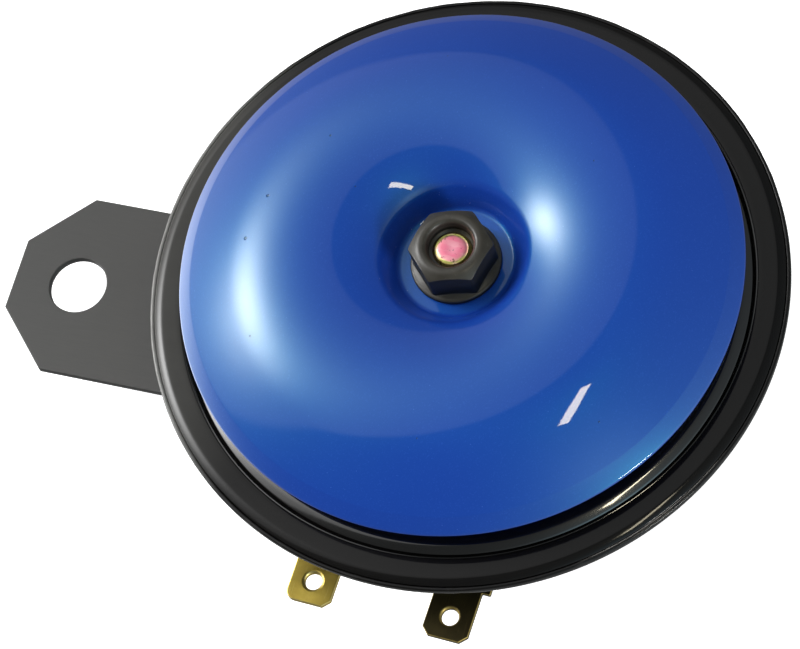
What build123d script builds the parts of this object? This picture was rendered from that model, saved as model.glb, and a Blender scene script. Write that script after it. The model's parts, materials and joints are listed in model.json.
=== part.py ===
from build123d import *
import math
import os

# Electric disc horn, sounding face up (+Z).  All sizes in millimetres.
# The shapes below are laid out about the horn's own axis, with height 0 on the
# flat top of the clamp ring.  At the end everything is moved so that the row's
# origin is the centre of the bracket's fixing hole, half way through the strip.

# ---------------------------------------------------------------- dimensions
# housing and rim
SHEET = 0.8            # housing and clamp ring sheet
RIM_R = 42.7           # largest radius, the upturned lip
RIM_BEND = 1.3         # outside radius of the bend below the lip
LIP_IN_R = 42.12       # inner face of the lip, where it grips the clamp ring
LIP_TOP = -0.40        # top of the lip
LIP_ROUND = 0.22       # its rounded outer corner
RING_IN_R = 38.4       # inner edge of the clamp ring
RING_FLAT_R = 40.75    # where the ring's sloping shoulder starts
RING_SHOULDER = 22.0   # its slope, degrees
DIA_T = 0.35           # diaphragm sheet
GASKET_T = 0.40
WALL_R = 36.4          # upper wall, outside
CUP_R = 24.6           # lower cup, outside
SHOULDER_Z = -12.6     # outside face of the shoulder
BACK_Z = -27.75        # outside face of the back
DRAFT = 2.0            # wall draft, degrees

# tone disc
DISC_T = 0.9
HUB_Z = 6.2            # top of the sunk hub
HUB_HOLE_R = 3.1
CREST_R = 20.1
CREST_Z = 12.2
WALL_ANGLE = 57.0      # crater wall slope
INNER_ANGLE = 28.7     # slope where the crater wall meets the dome
OUTER_ANGLE_1 = 25.3
OUTER_ANGLE_2 = 31.6
BEVEL_ANGLE_1 = 39.42   # the steeper band round the edge, at its top
BEVEL_ANGLE_2 = 43.42   # and at its foot
BEVEL_STOP = 42.72      # slope where the underside meets the cut edge
LIP_ANGLE = 85.0
R_FILLET, R_BROW, R_IN, R_OUT1, R_OUT2 = 1.0, 3.0, 20.0, 22.0, 61.0
R_CREASE, R_BEVEL, R_LIP = 1.2, 30.48, 0.6

# nut
NUT_AF = 9.8
NUT_TOP = 11.9
NUT_ROT = 14.6         # angle of one corner
FLANGE_R = 6.0
MOUTH_R = 3.45
BORE_R = 3.0

# armature
STUD_R = 2.95
STUD_END_R = 2.28
STUD_TOP = 10.3
PLUNGER_R = 7.0
PLUNGER_Z = -10.6
PUSH_R = 11.0
PUSH_Z0, PUSH_Z1 = -8.0, -6.8
NECK_R = 8.0

# electromagnet
CORE_R = 7.0
CORE_TOP = -11.3
SHANK_R = 4.0
SHANK_END = -38.8
BOBBIN_R = 20.0
WINDING_R = 18.0

# bracket
BR_T = 1.2
BR_HALF = 13.7
BR_HOLE_X = -63.6
BR_HOLE_R = 4.25
BR_END_X = -73.35
BR_CORNER_X = -65.2
BR_END_HALF = 5.4

# terminals
T_DIR = -92.5          # direction of both blades, degrees
T_LAT = (-10.35, 8.85) # blade centrelines, left and right
T_TIP = 43.8
T_HOLE = 40.7
T_HOLE_R = 1.15
T_W = 6.3
T_T = 0.8
T_BASE_W = 8.5
T_STEP = 36.6
T_RIVET = 28.3
T_INNER = 24.9
PLATE_T = 0.9

# contact set, in its own radial direction
SET_DIR = 62.0
SET_R = 29.6           # radius of the rivets, and of the arm's flexing line
ARM_T = 0.4

OUT = "parts"
os.makedirs(OUT, exist_ok=True)


# ---------------------------------------------------------------- helpers
def v(p):
    return Vector(p[0], 0, p[1])


def path(start, heading, steps, t):
    """Follow steps from start; give the path's items and those of the path
    offset to its right by t, walked backwards.  Steps are ("L", length) and
    ("A", radius, turn in degrees, left positive)."""
    def walk(off):
        h = math.radians(heading)
        x = start[0] + off * math.sin(h)
        z = start[1] - off * math.cos(h)
        pts = [((x, z), None)]
        for s in steps:
            if s[0] == "L":
                x += s[1] * math.cos(h)
                z += s[1] * math.sin(h)
                pts.append(((x, z), None))
            else:
                turn = math.radians(s[2])
                r = s[1] + off if turn > 0 else s[1] - off
                sg = 1 if turn > 0 else -1
                cx = x - sg * r * math.sin(h)
                cz = z + sg * r * math.cos(h)
                mid = h + turn / 2
                end = h + turn
                m = (cx + sg * r * math.sin(mid), cz - sg * r * math.cos(mid))
                x, z = cx + sg * r * math.sin(end), cz - sg * r * math.cos(end)
                pts.append(((x, z), m))
                h = end
        return pts
    return walk(0.0), walk(t)


def edges_of(pts):
    out = []
    for (a, _), (b, m) in zip(pts, pts[1:]):
        if m is None:
            out.append(Edge.make_line(v(a), v(b)))
        else:
            out.append(Edge.make_three_point_arc(v(a), v(m), v(b)))
    return out


def backwards(pts):
    """The same path from its end to its start."""
    res = [(pts[-1][0], None)]
    for i in range(len(pts) - 1, 0, -1):
        res.append((pts[i - 1][0], pts[i][1]))
    return res


def spin(pts):
    """Revolve a closed outline round Z."""
    closed = list(pts)
    if math.dist(closed[0][0], closed[-1][0]) > 1e-6:
        closed.append((closed[0][0], None))
    else:
        closed[-1] = (closed[0][0], closed[-1][1])
    face = Face(Wire(edges_of(closed)))
    return Solid.revolve(face, 360, Axis.Z)


def lathe(*pts):
    """Revolve straight and arc items: a point is (r, z) or (r, z, (mr, mz))."""
    return spin([((p[0], p[1]), p[2] if len(p) > 2 else None) for p in pts])


def tube(r0, r1, z0, z1):
    return lathe((r0, z0), (r1, z0), (r1, z1), (r0, z1))


def rod(r, z0, z1, x=0.0, y=0.0):
    return Pos(x, y, z0) * Cylinder(r, z1 - z0, align=(Align.CENTER, Align.CENTER, Align.MIN))


def bar(x0, x1, y0, y1, z0, z1):
    return Pos(x0, y0, z0) * Box(x1 - x0, y1 - y0, z1 - z0, align=(Align.MIN, Align.MIN, Align.MIN))


def prism(points, z0, z1):
    face = Face(Wire.make_polygon([Vector(p[0], p[1], z0) for p in points], close=True))
    return Solid.extrude(face, Vector(0, 0, z1 - z0))


def hexagon(af, rot):
    r = af / math.sqrt(3)
    return [(r * math.cos(math.radians(rot + 60 * k)), r * math.sin(math.radians(rot + 60 * k))) for k in range(6)]


def hex_nut(af, z0, z1, bore, rot, both=True, x=0.0, y=0.0):
    """Plain hexagon nut with turned corners."""
    body = prism(hexagon(af, rot), z0, z1)
    rc = af / math.sqrt(3)
    rt = af * 0.475
    dz = (rc - rt) * math.tan(math.radians(30))
    turned = lathe((0, z0), (rt if both else rc + 0.5, z0), (rc + 0.2, z0 + (dz + 0.115 if both else 0)),
                   (rc + 0.2, z1 - dz - 0.115), (rt, z1), (0, z1)) if both else \
        lathe((0, z0), (rc + 0.2, z0), (rc + 0.2, z1 - dz - 0.115), (rt, z1), (0, z1))
    nut = (body & turned) - rod(bore, z0 - 1, z1 + 1)
    c = 0.35
    nut -= lathe((0, z1 + 0.01), (bore + c, z1 + 0.01), (bore, z1 - c), (0, z1 - c))
    return Pos(x, y, 0) * nut


def one(shape):
    """The single solid of a shape."""
    s = shape.solids()
    if len(s) != 1:
        raise ValueError("%d solids" % len(s))
    return s[0]


nodes = {}

# ---------------------------------------------------------------- heights
RING_Z = -SHEET                      # under side of the clamp ring
GASKET_Z = RING_Z - DIA_T            # under side of the diaphragm's edge
FLANGE_Z = GASKET_Z - GASKET_T       # top of the housing's flange
SHOULDER_IN = SHOULDER_Z + SHEET
BACK_IN = BACK_Z + SHEET
BR_Z = BACK_Z - BR_T                 # under side of the bracket

# ---------------------------------------------------------------- tone disc
deg = math.radians
wall_dz = (CREST_Z - HUB_Z) - R_FILLET * (1 - math.cos(deg(WALL_ANGLE))) \
    - R_BROW * (math.cos(deg(INNER_ANGLE)) - math.cos(deg(WALL_ANGLE))) \
    - R_IN * (1 - math.cos(deg(INNER_ANGLE)))
wall_len = wall_dz / math.sin(deg(WALL_ANGLE))
hub_flat_r = CREST_R - R_IN * math.sin(deg(INNER_ANGLE)) \
    - R_BROW * (math.sin(deg(WALL_ANGLE)) - math.sin(deg(INNER_ANGLE))) \
    - wall_len * math.cos(deg(WALL_ANGLE)) - R_FILLET * math.sin(deg(WALL_ANGLE))
disc_steps = [
    ("L", hub_flat_r - HUB_HOLE_R),
    ("A", R_FILLET, WALL_ANGLE),
    ("L", wall_len),
    ("A", R_BROW, INNER_ANGLE - WALL_ANGLE),
    ("A", R_IN, -INNER_ANGLE),
    ("A", R_OUT1, -OUTER_ANGLE_1),
    ("A", R_OUT2, OUTER_ANGLE_1 - OUTER_ANGLE_2),
    ("A", R_CREASE, OUTER_ANGLE_2 - BEVEL_ANGLE_1),
    ("A", R_BEVEL, BEVEL_ANGLE_1 - BEVEL_ANGLE_2),
    ("A", R_LIP, BEVEL_ANGLE_2 - LIP_ANGLE),
]
under_steps = disc_steps[:-2] + [("A", R_BEVEL, BEVEL_ANGLE_1 - BEVEL_STOP)]
top, _ = path((HUB_HOLE_R, HUB_Z), 0, disc_steps, DISC_T)
_, under = path((HUB_HOLE_R, HUB_Z), 0, under_steps, DISC_T)
nodes["tone_disc"] = spin(top + backwards(under))
print("tone disc: hub flat to r %.2f, edge at r %.2f z %.2f" % (hub_flat_r, top[-1][0][0], top[-1][0][1]))

# ---------------------------------------------------------------- diaphragm
# clamped edge, one round bead, then a shallow cone up to the flat centre
BEAD_R, BEAD_RAD, BEAD_ANGLE = 36.1, 2.5, 46.0
CONE = 3.9
CENTRE_R = 9.7
bead_out = BEAD_R + BEAD_RAD * math.sin(deg(BEAD_ANGLE))
fil_out = bead_out + 0.6 * math.sin(deg(BEAD_ANGLE))
bead_in = BEAD_R - BEAD_RAD * math.sin(deg(BEAD_ANGLE))
cone_out = bead_in - 1.2 * (math.sin(deg(BEAD_ANGLE)) + math.sin(deg(CONE)))
cone_in = CENTRE_R + 20.0 * math.sin(deg(CONE))
dia_steps = [
    ("L", 41.3 - fil_out),
    ("A", 0.6, -BEAD_ANGLE),
    ("A", BEAD_RAD, 2 * BEAD_ANGLE),
    ("A", 1.2, -BEAD_ANGLE - CONE),
    ("L", (cone_out - cone_in) / math.cos(deg(CONE))),
    ("A", 20.0, CONE),
    ("L", CENTRE_R - 3.05),
]
top, under = path((41.3, RING_Z), 180, dia_steps, -DIA_T)
nodes["diaphragm"] = spin(top + backwards(under))
CENTRE_Z = top[-1][0][1]             # top of the diaphragm's flat centre
print("diaphragm: centre top at z %.3f, bead crest z %.2f" % (CENTRE_Z, RING_Z + 0.6 * (1 - math.cos(deg(46))) + 2.5 * (1 - math.cos(deg(46)))))
SEAT_Z = CENTRE_Z - DIA_T            # armature's shoulder, under the diaphragm
WASHER_Z = CENTRE_Z + 1.2
SPACER_Z = HUB_Z - DISC_T

# ---------------------------------------------------------------- rim stack
ring_steps = [
    ("L", RING_FLAT_R - RING_IN_R - 0.15),
    ("A", 1.6, -RING_SHOULDER),
    ("L", 0.593),
    ("A", 0.3, RING_SHOULDER - 90),
]
ring_top, _ = path((RING_IN_R + 0.15, 0.0), 0, ring_steps, SHEET)
ring_out = ring_top[-1][0][0]
nodes["clamp_ring"] = spin(ring_top + [
    ((ring_out, RING_Z), None), ((RING_IN_R, RING_Z), None), ((RING_IN_R, -0.15), None),
    ((RING_IN_R + 0.15, 0.0), (RING_IN_R + 0.044, -0.044))])
print("clamp ring: outer r %.3f, lip inner face r %.3f" % (ring_out, LIP_IN_R))
nodes["diaphragm_gasket"] = tube(37.6, 41.3, FLANGE_Z, GASKET_Z)

# housing: upturned lip, flange, upper wall, shoulder, lower cup and back
a = 90 - DRAFT
h_steps_fixed = 1.0
wall_top_r = WALL_R + 1.0 * math.sin(deg(a))      # start of the bend under the flange
upper_dz = (FLANGE_Z - SHEET) - SHOULDER_Z - 1.0 * (1 - math.cos(deg(a))) - 2.0 * (1 - math.cos(deg(a)))
upper_len = upper_dz / math.sin(deg(a))
r_after = WALL_R - upper_len * math.cos(deg(a)) - 2.0 * math.sin(deg(a))
cup_top_r = CUP_R + 1.2 * math.sin(deg(a))
lower_dz = SHOULDER_Z - BACK_Z - 1.2 * (1 - math.cos(deg(a))) - 2.5 * (1 - math.cos(deg(a)))
lower_len = lower_dz / math.sin(deg(a))
r_back = CUP_R - lower_len * math.cos(deg(a)) - 2.5 * math.sin(deg(a))
h_steps = [
    ("A", RIM_BEND, -90.0),
    ("L", (RIM_R - RIM_BEND) - wall_top_r),
    ("A", 1.0, a),
    ("L", upper_len),
    ("A", 2.0, -a),
    ("L", r_after - cup_top_r),
    ("A", 1.2, a),
    ("L", lower_len),
    ("A", 2.5, -a),
    ("L", r_back - (SHANK_R + 0.1)),
]
outer, inner = path((RIM_R, FLANGE_Z - SHEET + RIM_BEND), -90, h_steps, SHEET)
q = 0.5 ** 0.5
outline = outer + backwards(inner)
# the closing run: up the lip's inner face, which is thinned beside the ring,
# over its top and rounded outer corner, and down to the start
closing = [((LIP_IN_R, -0.85), None), ((LIP_IN_R, LIP_TOP - 0.05), None), ((LIP_IN_R + 0.05, LIP_TOP), None),
           ((RIM_R - LIP_ROUND, LIP_TOP), None),
           ((RIM_R, LIP_TOP - LIP_ROUND), (RIM_R - LIP_ROUND + LIP_ROUND * q, LIP_TOP - LIP_ROUND + LIP_ROUND * q)),
           ((RIM_R, FLANGE_Z - SHEET + RIM_BEND), None)]
housing = spin(outline + closing)
print("housing: shoulder flat r %.2f to %.2f, cup inside r %.2f, back flat r %.2f" % (cup_top_r, r_after, CUP_R - SHEET, r_back))

# ---------------------------------------------------------------- directions
td = (math.cos(deg(T_DIR)), math.sin(deg(T_DIR)))
tp = (-td[1], td[0])


def on_t(lat, along):
    return (tp[0] * lat + td[0] * along, tp[1] * lat + td[1] * along)


sd = (math.cos(deg(SET_DIR)), math.sin(deg(SET_DIR)))
set_turn = Rot(0, 0, SET_DIR)        # x runs outwards, y round the axis
SET_B = 5.2                          # rivets either side of the arm's centreline
rivet_at = [(SET_R * sd[0] - s * SET_B * sd[1], SET_R * sd[1] + s * SET_B * sd[0]) for s in (1, -1)]
SCREW_B = 12.2                       # adjusting screw, beside the contact set
SCREW_A = 27.2
screw_at = (SCREW_A * sd[0] - SCREW_B * sd[1], SCREW_A * sd[1] + SCREW_B * sd[0])

# holes in the housing's shoulder
term_rivets = [on_t(lat, T_RIVET) for lat in T_LAT]
for (x, y) in term_rivets:
    housing -= rod(2.35, SHOULDER_Z - 1, SHOULDER_IN + 1, x, y)
for (x, y) in rivet_at:
    housing -= rod(1.55, SHOULDER_Z - 1, SHOULDER_IN + 1, x, y)
housing -= rod(2.6, SHOULDER_Z - 1, SHOULDER_IN + 1, *screw_at)
nodes["housing"] = one(housing)

# ---------------------------------------------------------------- electromagnet
core = lathe(
    (0, SHANK_END), (SHANK_R - 0.7, SHANK_END), (SHANK_R, SHANK_END + 0.7), (SHANK_R, BACK_IN),
    (CORE_R, BACK_IN), (CORE_R, CORE_TOP - 0.4), (CORE_R - 0.4, CORE_TOP), (0, CORE_TOP))
nodes["pole_core"] = core
nodes["coil_bobbin"] = lathe(
    (CORE_R + 0.1, BACK_IN), (BOBBIN_R, BACK_IN), (BOBBIN_R, BACK_IN + 1.0), (8.4, BACK_IN + 1.0),
    (8.4, -12.9), (BOBBIN_R, -12.9), (BOBBIN_R, -11.9), (CORE_R + 0.1, -11.9))
nodes["coil_winding"] = lathe(
    (8.4, BACK_IN + 1.0), (WINDING_R - 0.5, BACK_IN + 1.0), (WINDING_R, BACK_IN + 1.6), (WINDING_R, -13.5),
    (WINDING_R - 0.5, -12.9), (8.4, -12.9))

# ---------------------------------------------------------------- armature
nodes["armature"] = lathe(
    (0, PLUNGER_Z), (PLUNGER_R - 0.4, PLUNGER_Z), (PLUNGER_R, PLUNGER_Z + 0.4), (PLUNGER_R, PUSH_Z0),
    (PUSH_R, PUSH_Z0), (PUSH_R, PUSH_Z1), (NECK_R, PUSH_Z1), (NECK_R, SEAT_Z), (STUD_R, SEAT_Z),
    (STUD_R, STUD_TOP - 0.7), (STUD_END_R, STUD_TOP), (0, STUD_TOP))
nodes["diaphragm_washer"] = lathe(
    (3.05, CENTRE_Z), (9.0, CENTRE_Z), (9.0, WASHER_Z - 0.3), (8.7, WASHER_Z), (3.05, WASHER_Z))
nodes["disc_spacer"] = lathe(
    (3.05, WASHER_Z), (5.5, WASHER_Z), (5.5, SPACER_Z), (3.05, SPACER_Z))

# flange nut
rc = NUT_AF / math.sqrt(3)
CHAM_R = 4.3
dz = (rc - CHAM_R) * math.tan(deg(30))
hexa = prism(hexagon(NUT_AF, NUT_ROT), HUB_Z + 0.3, NUT_TOP)
turned = lathe((0, HUB_Z), (7, HUB_Z), (7, NUT_TOP - dz - (7 - rc) * math.tan(deg(30))), (CHAM_R, NUT_TOP), (0, NUT_TOP))
skirt = lathe(
    (0, HUB_Z), (FLANGE_R - 0.15, HUB_Z), (FLANGE_R, HUB_Z + 0.15),
    (FLANGE_R, HUB_Z + 0.55), (FLANGE_R - 0.2, HUB_Z + 0.75, (FLANGE_R - 0.06, HUB_Z + 0.69)),
    (4.6, HUB_Z + 1.35), (0, HUB_Z + 1.35))
nut = (hexa & turned) + skirt
bowl = lathe((0, NUT_TOP + 0.5), (MOUTH_R, NUT_TOP + 0.5), (MOUTH_R, NUT_TOP),
             (BORE_R, NUT_TOP - 0.95, (MOUTH_R - 0.13, NUT_TOP - 0.62)), (0, NUT_TOP - 0.95))
nut = nut - bowl - rod(BORE_R, HUB_Z - 1, NUT_TOP + 1)
nodes["tone_disc_nut"] = one(nut)

# ---------------------------------------------------------------- contact set
# built along x and turned to its place; the rivets are at y = +-SET_B
BASE_TOP = SHOULDER_IN + 2.35
GAP = 0.15                           # room for the arm to flex in the stack
ARM_Z0 = BASE_TOP + GAP
ARM_Z1 = ARM_Z0 + ARM_T
INS_Z0 = ARM_Z1 + GAP
INS_Z1 = INS_Z0 + 0.9
CB_Z1 = INS_Z1 + 0.8
BUSH_R, RIV_R = 2.1, 1.5
A0, A1 = 26.2, 33.0                  # stack, from inside to outside radius


def stack_holes(shape, r):
    for s in (1, -1):
        shape -= rod(r, -30, 10, SET_R, s * SET_B)
    return shape


HALF_W = 7.7
base = bar(A0, A1, -HALF_W, HALF_W, SHOULDER_IN, BASE_TOP)
base = base & tube(A0 - 3, 33.3, SHOULDER_IN, BASE_TOP)
base = stack_holes(base, BUSH_R)
nodes["breaker_base"] = one(set_turn * base)

arm = bar(A0 + 0.6, A1 - 0.6, -HALF_W + 0.3, HALF_W - 0.3, ARM_Z0, ARM_Z1)
arm += prism([(A0 + 1.0, -6.5), (A0 + 1.0, 6.5), (A0 - 3.5, 3.2), (8.6, 3.2), (8.2, 2.6), (8.2, -2.6), (8.6, -3.2), (A0 - 3.5, -3.2)], ARM_Z0, ARM_Z1)
arm = stack_holes(arm, BUSH_R + 0.3)
CONTACT_A = 18.6
PUSHER_A = 9.7
arm -= rod(0.9, ARM_Z0 - 1, ARM_Z1 + 1, CONTACT_A, 0)
arm -= rod(0.8, ARM_Z0 - 1, ARM_Z1 + 1, PUSHER_A, 0)
nodes["contact_arm"] = one(set_turn * arm)

# moving contact: riveted disc, shank through the arm, head below
mc_top = INS_Z1 - 0.75
mc = rod(1.7, ARM_Z1, mc_top, CONTACT_A, 0) + rod(0.9, ARM_Z0 - 0.1, ARM_Z1 + 0.1, CONTACT_A, 0) + rod(1.3, ARM_Z0 - 0.4, ARM_Z0, CONTACT_A, 0)
nodes["moving_contact"] = one(set_turn * mc)
# pusher: fibre button under the armature's flange
pu = rod(1.5, ARM_Z1, PUSH_Z0 - 0.08, PUSHER_A, 0) + rod(0.8, ARM_Z0 - 0.1, ARM_Z1 + 0.1, PUSHER_A, 0) + rod(1.2, ARM_Z0 - 0.35, ARM_Z0, PUSHER_A, 0)
nodes["arm_pusher"] = one(set_turn * pu)

ins = bar(A0, A1, -HALF_W, HALF_W, INS_Z0, INS_Z1) & tube(A0 - 3, 33.3, INS_Z0, INS_Z1)
ins = stack_holes(ins, BUSH_R)
nodes["breaker_insulator"] = one(set_turn * ins)

cb = bar(A0, A1, -HALF_W, HALF_W, INS_Z1, CB_Z1) & tube(A0 - 3, 33.3, INS_Z1, CB_Z1)
cb += prism([(A0 + 1, -5.5), (A0 + 1, 5.5), (A0 - 2.5, 3.6), (16.6, 3.6), (16.0, 3.0), (16.0, -3.0), (16.6, -3.6), (A0 - 2.5, -3.6)], INS_Z1, CB_Z1)
cb += prism([(SCREW_A - 2.6, 6.5), (SCREW_A + 2.6, 6.5), (SCREW_A + 2.6, SCREW_B + 1.4), (SCREW_A + 1.2, SCREW_B + 2.8), (SCREW_A - 1.2, SCREW_B + 2.8), (SCREW_A - 2.6, SCREW_B + 1.4)], INS_Z1, CB_Z1)
cb = stack_holes(cb, RIV_R + 0.05)
cb -= rod(0.9, INS_Z1 - 1, CB_Z1 + 1, CONTACT_A, 0)
nodes["contact_bracket"] = one(set_turn * cb)
fc = rod(1.7, mc_top + 0.05, INS_Z1, CONTACT_A, 0) + rod(0.9, INS_Z1 - 0.1, CB_Z1 + 0.1, CONTACT_A, 0) + rod(1.3, CB_Z1, CB_Z1 + 0.4, CONTACT_A, 0)
nodes["fixed_contact"] = one(set_turn * fc)

riv = []
bush = []
for (x, y) in rivet_at:
    head = Pos(x, y, 0) * lathe((0, SHOULDER_Z), (2.7, SHOULDER_Z), (2.7, SHOULDER_Z - 0.4),
                                (1.0, SHOULDER_Z - 1.4, (2.2, SHOULDER_Z - 1.12)), (0, SHOULDER_Z - 1.4))
    body = rod(RIV_R, SHOULDER_Z - 0.2, CB_Z1 + 0.1, x, y)
    tail = rod(2.6, CB_Z1, CB_Z1 + 0.8, x, y)
    riv.append(one(head + body + tail))
    bush.append(one(Pos(x, y, 0) * tube(RIV_R + 0.02, BUSH_R - 0.02, SHOULDER_IN, INS_Z1)))
nodes["breaker_rivets"] = Compound(riv)
nodes["rivet_bushes"] = Compound(bush)

# adjusting screw: bears on the contact bracket's ear, from outside
sx, sy = screw_at
nodes["adjusting_insert"] = one(Pos(sx, sy, 0) * lathe(
    (2.05, SHOULDER_Z), (2.55, SHOULDER_Z), (2.55, SHOULDER_IN), (3.6, SHOULDER_IN), (3.6, SHOULDER_IN + 2.0),
    (3.3, SHOULDER_IN + 2.3), (2.05, SHOULDER_IN + 2.3)).solid())
screw = Pos(sx, sy, 0) * lathe(
    (0, -20.6), (3.2, -20.6), (3.5, -20.3), (3.5, -18.3), (2.0, -18.3), (2.0, INS_Z1 - 0.35), (1.6, INS_Z1), (0, INS_Z1))
slot = Pos(sx, sy, 0) * Rot(0, 0, 25) * bar(-4, 4, -0.45, 0.45, -21, -19.5)
nodes["adjusting_screw"] = one(screw - slot)
nodes["lock_nut"] = one(hex_nut(7.0, SHOULDER_Z - 2.2, SHOULDER_Z, 2.05, 10, True, sx, sy))

# ---------------------------------------------------------------- terminals
T_Z1 = SHOULDER_Z - PLATE_T
T_Z0 = T_Z1 - T_T


def blade(lat, left):
    hw, hb = T_W / 2, T_BASE_W / 2
    c = 1.0
    pts = [(lat - hb, T_INNER + 0.6), (lat - hb + 0.6, T_INNER), (lat + hb - 0.6, T_INNER), (lat + hb, T_INNER + 0.6),
           (lat + hb, T_STEP), (lat + hw, T_STEP), (lat + hw, T_TIP - c), (lat + hw - c, T_TIP)]
    if left:
        r = 1.3
        pts += [(lat - hw + r, T_TIP)]
        for k in range(1, 6):
            t = deg(90 * k / 6)
            pts.append((lat - hw + r - r * math.sin(t), T_TIP - r + r * math.cos(t)))
        pts += [(lat - hw, T_TIP - r)]
    else:
        pts += [(lat - hw + c, T_TIP), (lat - hw, T_TIP - c)]
    pts += [(lat - hw, T_STEP), (lat - hb, T_STEP)]
    s = prism([on_t(*p) for p in pts], T_Z0, T_Z1)
    s -= rod(T_HOLE_R, T_Z0 - 1, T_Z1 + 1, *on_t(lat, T_HOLE))
    s -= rod(1.5, T_Z0 - 1, T_Z1 + 1, *on_t(lat, T_RIVET))
    # the hole's mouth is broken on the upper face
    hx, hy = on_t(lat, T_HOLE)
    s -= Pos(hx, hy, 0) * lathe((0, T_Z1 + 0.1), (T_HOLE_R + 0.5, T_Z1 + 0.1), (T_HOLE_R + 0.45, T_Z1), (T_HOLE_R, T_Z1 - 0.35), (0, T_Z1 - 0.35))
    return one(s)


nodes["terminal_left"] = blade(T_LAT[0], True)
nodes["terminal_right"] = blade(T_LAT[1], False)

pl = prism([on_t(*p) for p in [(-15.4, 24.6), (13.4, 24.6), (13.4, 33.2), (12.4, 34.0), (-14.6, 34.0), (-15.4, 33.2)]], T_Z1, SHOULDER_Z)
pl -= rod(26.2, T_Z1 - 1, SHOULDER_Z + 1)
for (x, y) in term_rivets:
    pl -= rod(2.35, T_Z1 - 1, SHOULDER_Z + 1, x, y)
nodes["terminal_plate"] = one(pl)

ip = prism([on_t(*p) for p in [(-14.6, 24.9), (13.2, 24.9), (13.2, 31.4), (-14.6, 31.4)]], SHOULDER_IN, SHOULDER_IN + 1.0)
ip = ip & tube(25.2, 33.0, SHOULDER_IN, SHOULDER_IN + 1.0)
for (x, y) in term_rivets:
    ip += rod(2.3, T_Z1, SHOULDER_IN + 0.5, x, y)
for (x, y) in term_rivets:
    ip -= rod(1.55, T_Z1 - 1, SHOULDER_IN + 2, x, y)
nodes["inner_plate"] = one(ip)

trv = []
for (x, y) in term_rivets:
    head = Pos(x, y, 0) * lathe((0, T_Z0), (2.7, T_Z0), (2.7, T_Z0 - 0.4),
                                (1.0, T_Z0 - 1.3, (2.2, T_Z0 - 1.03)), (0, T_Z0 - 1.3))
    trv.append(one(head + rod(1.5, T_Z0 - 0.2, SHOULDER_IN + 1.1, x, y) + rod(2.5, SHOULDER_IN + 1.0, SHOULDER_IN + 1.8, x, y)))
nodes["terminal_rivets"] = Compound(trv)

# ---------------------------------------------------------------- coil leads
# each runs out of the winding, up past the bobbin's edge and over to its rivet
LEAD_R = 0.4


def lead(points, bend):
    pts = [Vector(*p) for p in points]
    edges = []
    last = pts[0]
    for i in range(1, len(pts) - 1):
        d0 = (pts[i] - pts[i - 1]).normalized()
        d1 = (pts[i + 1] - pts[i]).normalized()
        ang = math.acos(max(-1, min(1, d0.dot(d1))))
        cut = bend * math.tan(ang / 2)
        p0 = pts[i] - d0 * cut
        p1 = pts[i] + d1 * cut
        mid = pts[i] + (d1 - d0).normalized() * (bend / math.cos(ang / 2) - bend)
        edges.append(Edge.make_line(last, p0))
        edges.append(Edge.make_three_point_arc(p0, mid, p1))
        last = p1
    edges.append(Edge.make_line(last, pts[-1]))
    wire = Wire(edges)
    sec = Plane(origin=pts[0], z_dir=(pts[1] - pts[0])) * Circle(LEAD_R)
    return one(sweep(sec, path=wire))


def polar(r, ang, z):
    return (r * math.cos(deg(ang)), r * math.sin(deg(ang)), z)


rx, ry = term_rivets[0]
ta = math.degrees(math.atan2(ry, rx))
rr = math.hypot(rx, ry)
l1 = lead([polar(WINDING_R, ta, -15.0), polar(21.8, ta, -15.0), polar(21.8, ta, SHOULDER_IN + 1.9 + LEAD_R), polar(rr - 0.4, ta, SHOULDER_IN + 1.9 + LEAD_R)], 0.9)
bx, by = rivet_at[1]
ba = math.degrees(math.atan2(by, bx)) - 8.0
l2 = lead([polar(WINDING_R, ba, -15.0), polar(22.0, ba, -15.0), polar(22.0, ba, CB_Z1 + 0.9 + LEAD_R), (bx, by, CB_Z1 + 0.9 + LEAD_R)], 0.9)
nodes["coil_leads"] = Compound([l1, l2])

# ---------------------------------------------------------------- bracket
strip = prism([(0, -BR_HALF), (0, BR_HALF), (BR_CORNER_X, BR_HALF), (BR_END_X, BR_END_HALF),
               (BR_END_X, -BR_END_HALF), (BR_CORNER_X, -BR_HALF)], BR_Z, BACK_Z)
strip += rod(BR_HALF, BR_Z, BACK_Z)
strip -= rod(BR_HOLE_R, BR_Z - 1, BACK_Z + 1, BR_HOLE_X, 0)
strip -= rod(SHANK_R + 0.15, BR_Z - 1, BACK_Z + 1)
nodes["bracket"] = one(strip)

SW_Z = BR_Z - 2.0
# the slanted cut leaves one open ring
sw = max((tube(SHANK_R + 0.15, 7.2, SW_Z, BR_Z) - Rot(0, 0, 205) * Pos(0, 0, (SW_Z + BR_Z) / 2) * Rot(35, 0, 0) * bar(0, 12, -0.5, 0.5, -5, 5)).solids(), key=lambda s: s.volume)
nodes["spring_washer"] = sw
nodes["rear_nut"] = one(hex_nut(13.0, SW_Z - 6.4, SW_Z, SHANK_R + 0.05, 22, True))

# ---------------------------------------------------------------- write
shift = Pos(-BR_HOLE_X, 0, -(BR_Z + BR_T / 2))
total = 0.0
for name, shape in nodes.items():
    moved = shift * shape
    vol = sum(s.volume for s in moved.solids())
    total += vol
    export_step(moved, os.path.join(OUT, name + ".step"))
print("%d nodes, %.0f mm3" % (len(nodes), total))
print("shift", -BR_HOLE_X, -(BR_Z + BR_T / 2), "arm hinge z", (ARM_Z0 + ARM_Z1) / 2)
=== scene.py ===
import json
import math
import bpy
import bmesh
from mathutils import Matrix, Vector
from mathutils.geometry import tessellate_polygon


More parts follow.
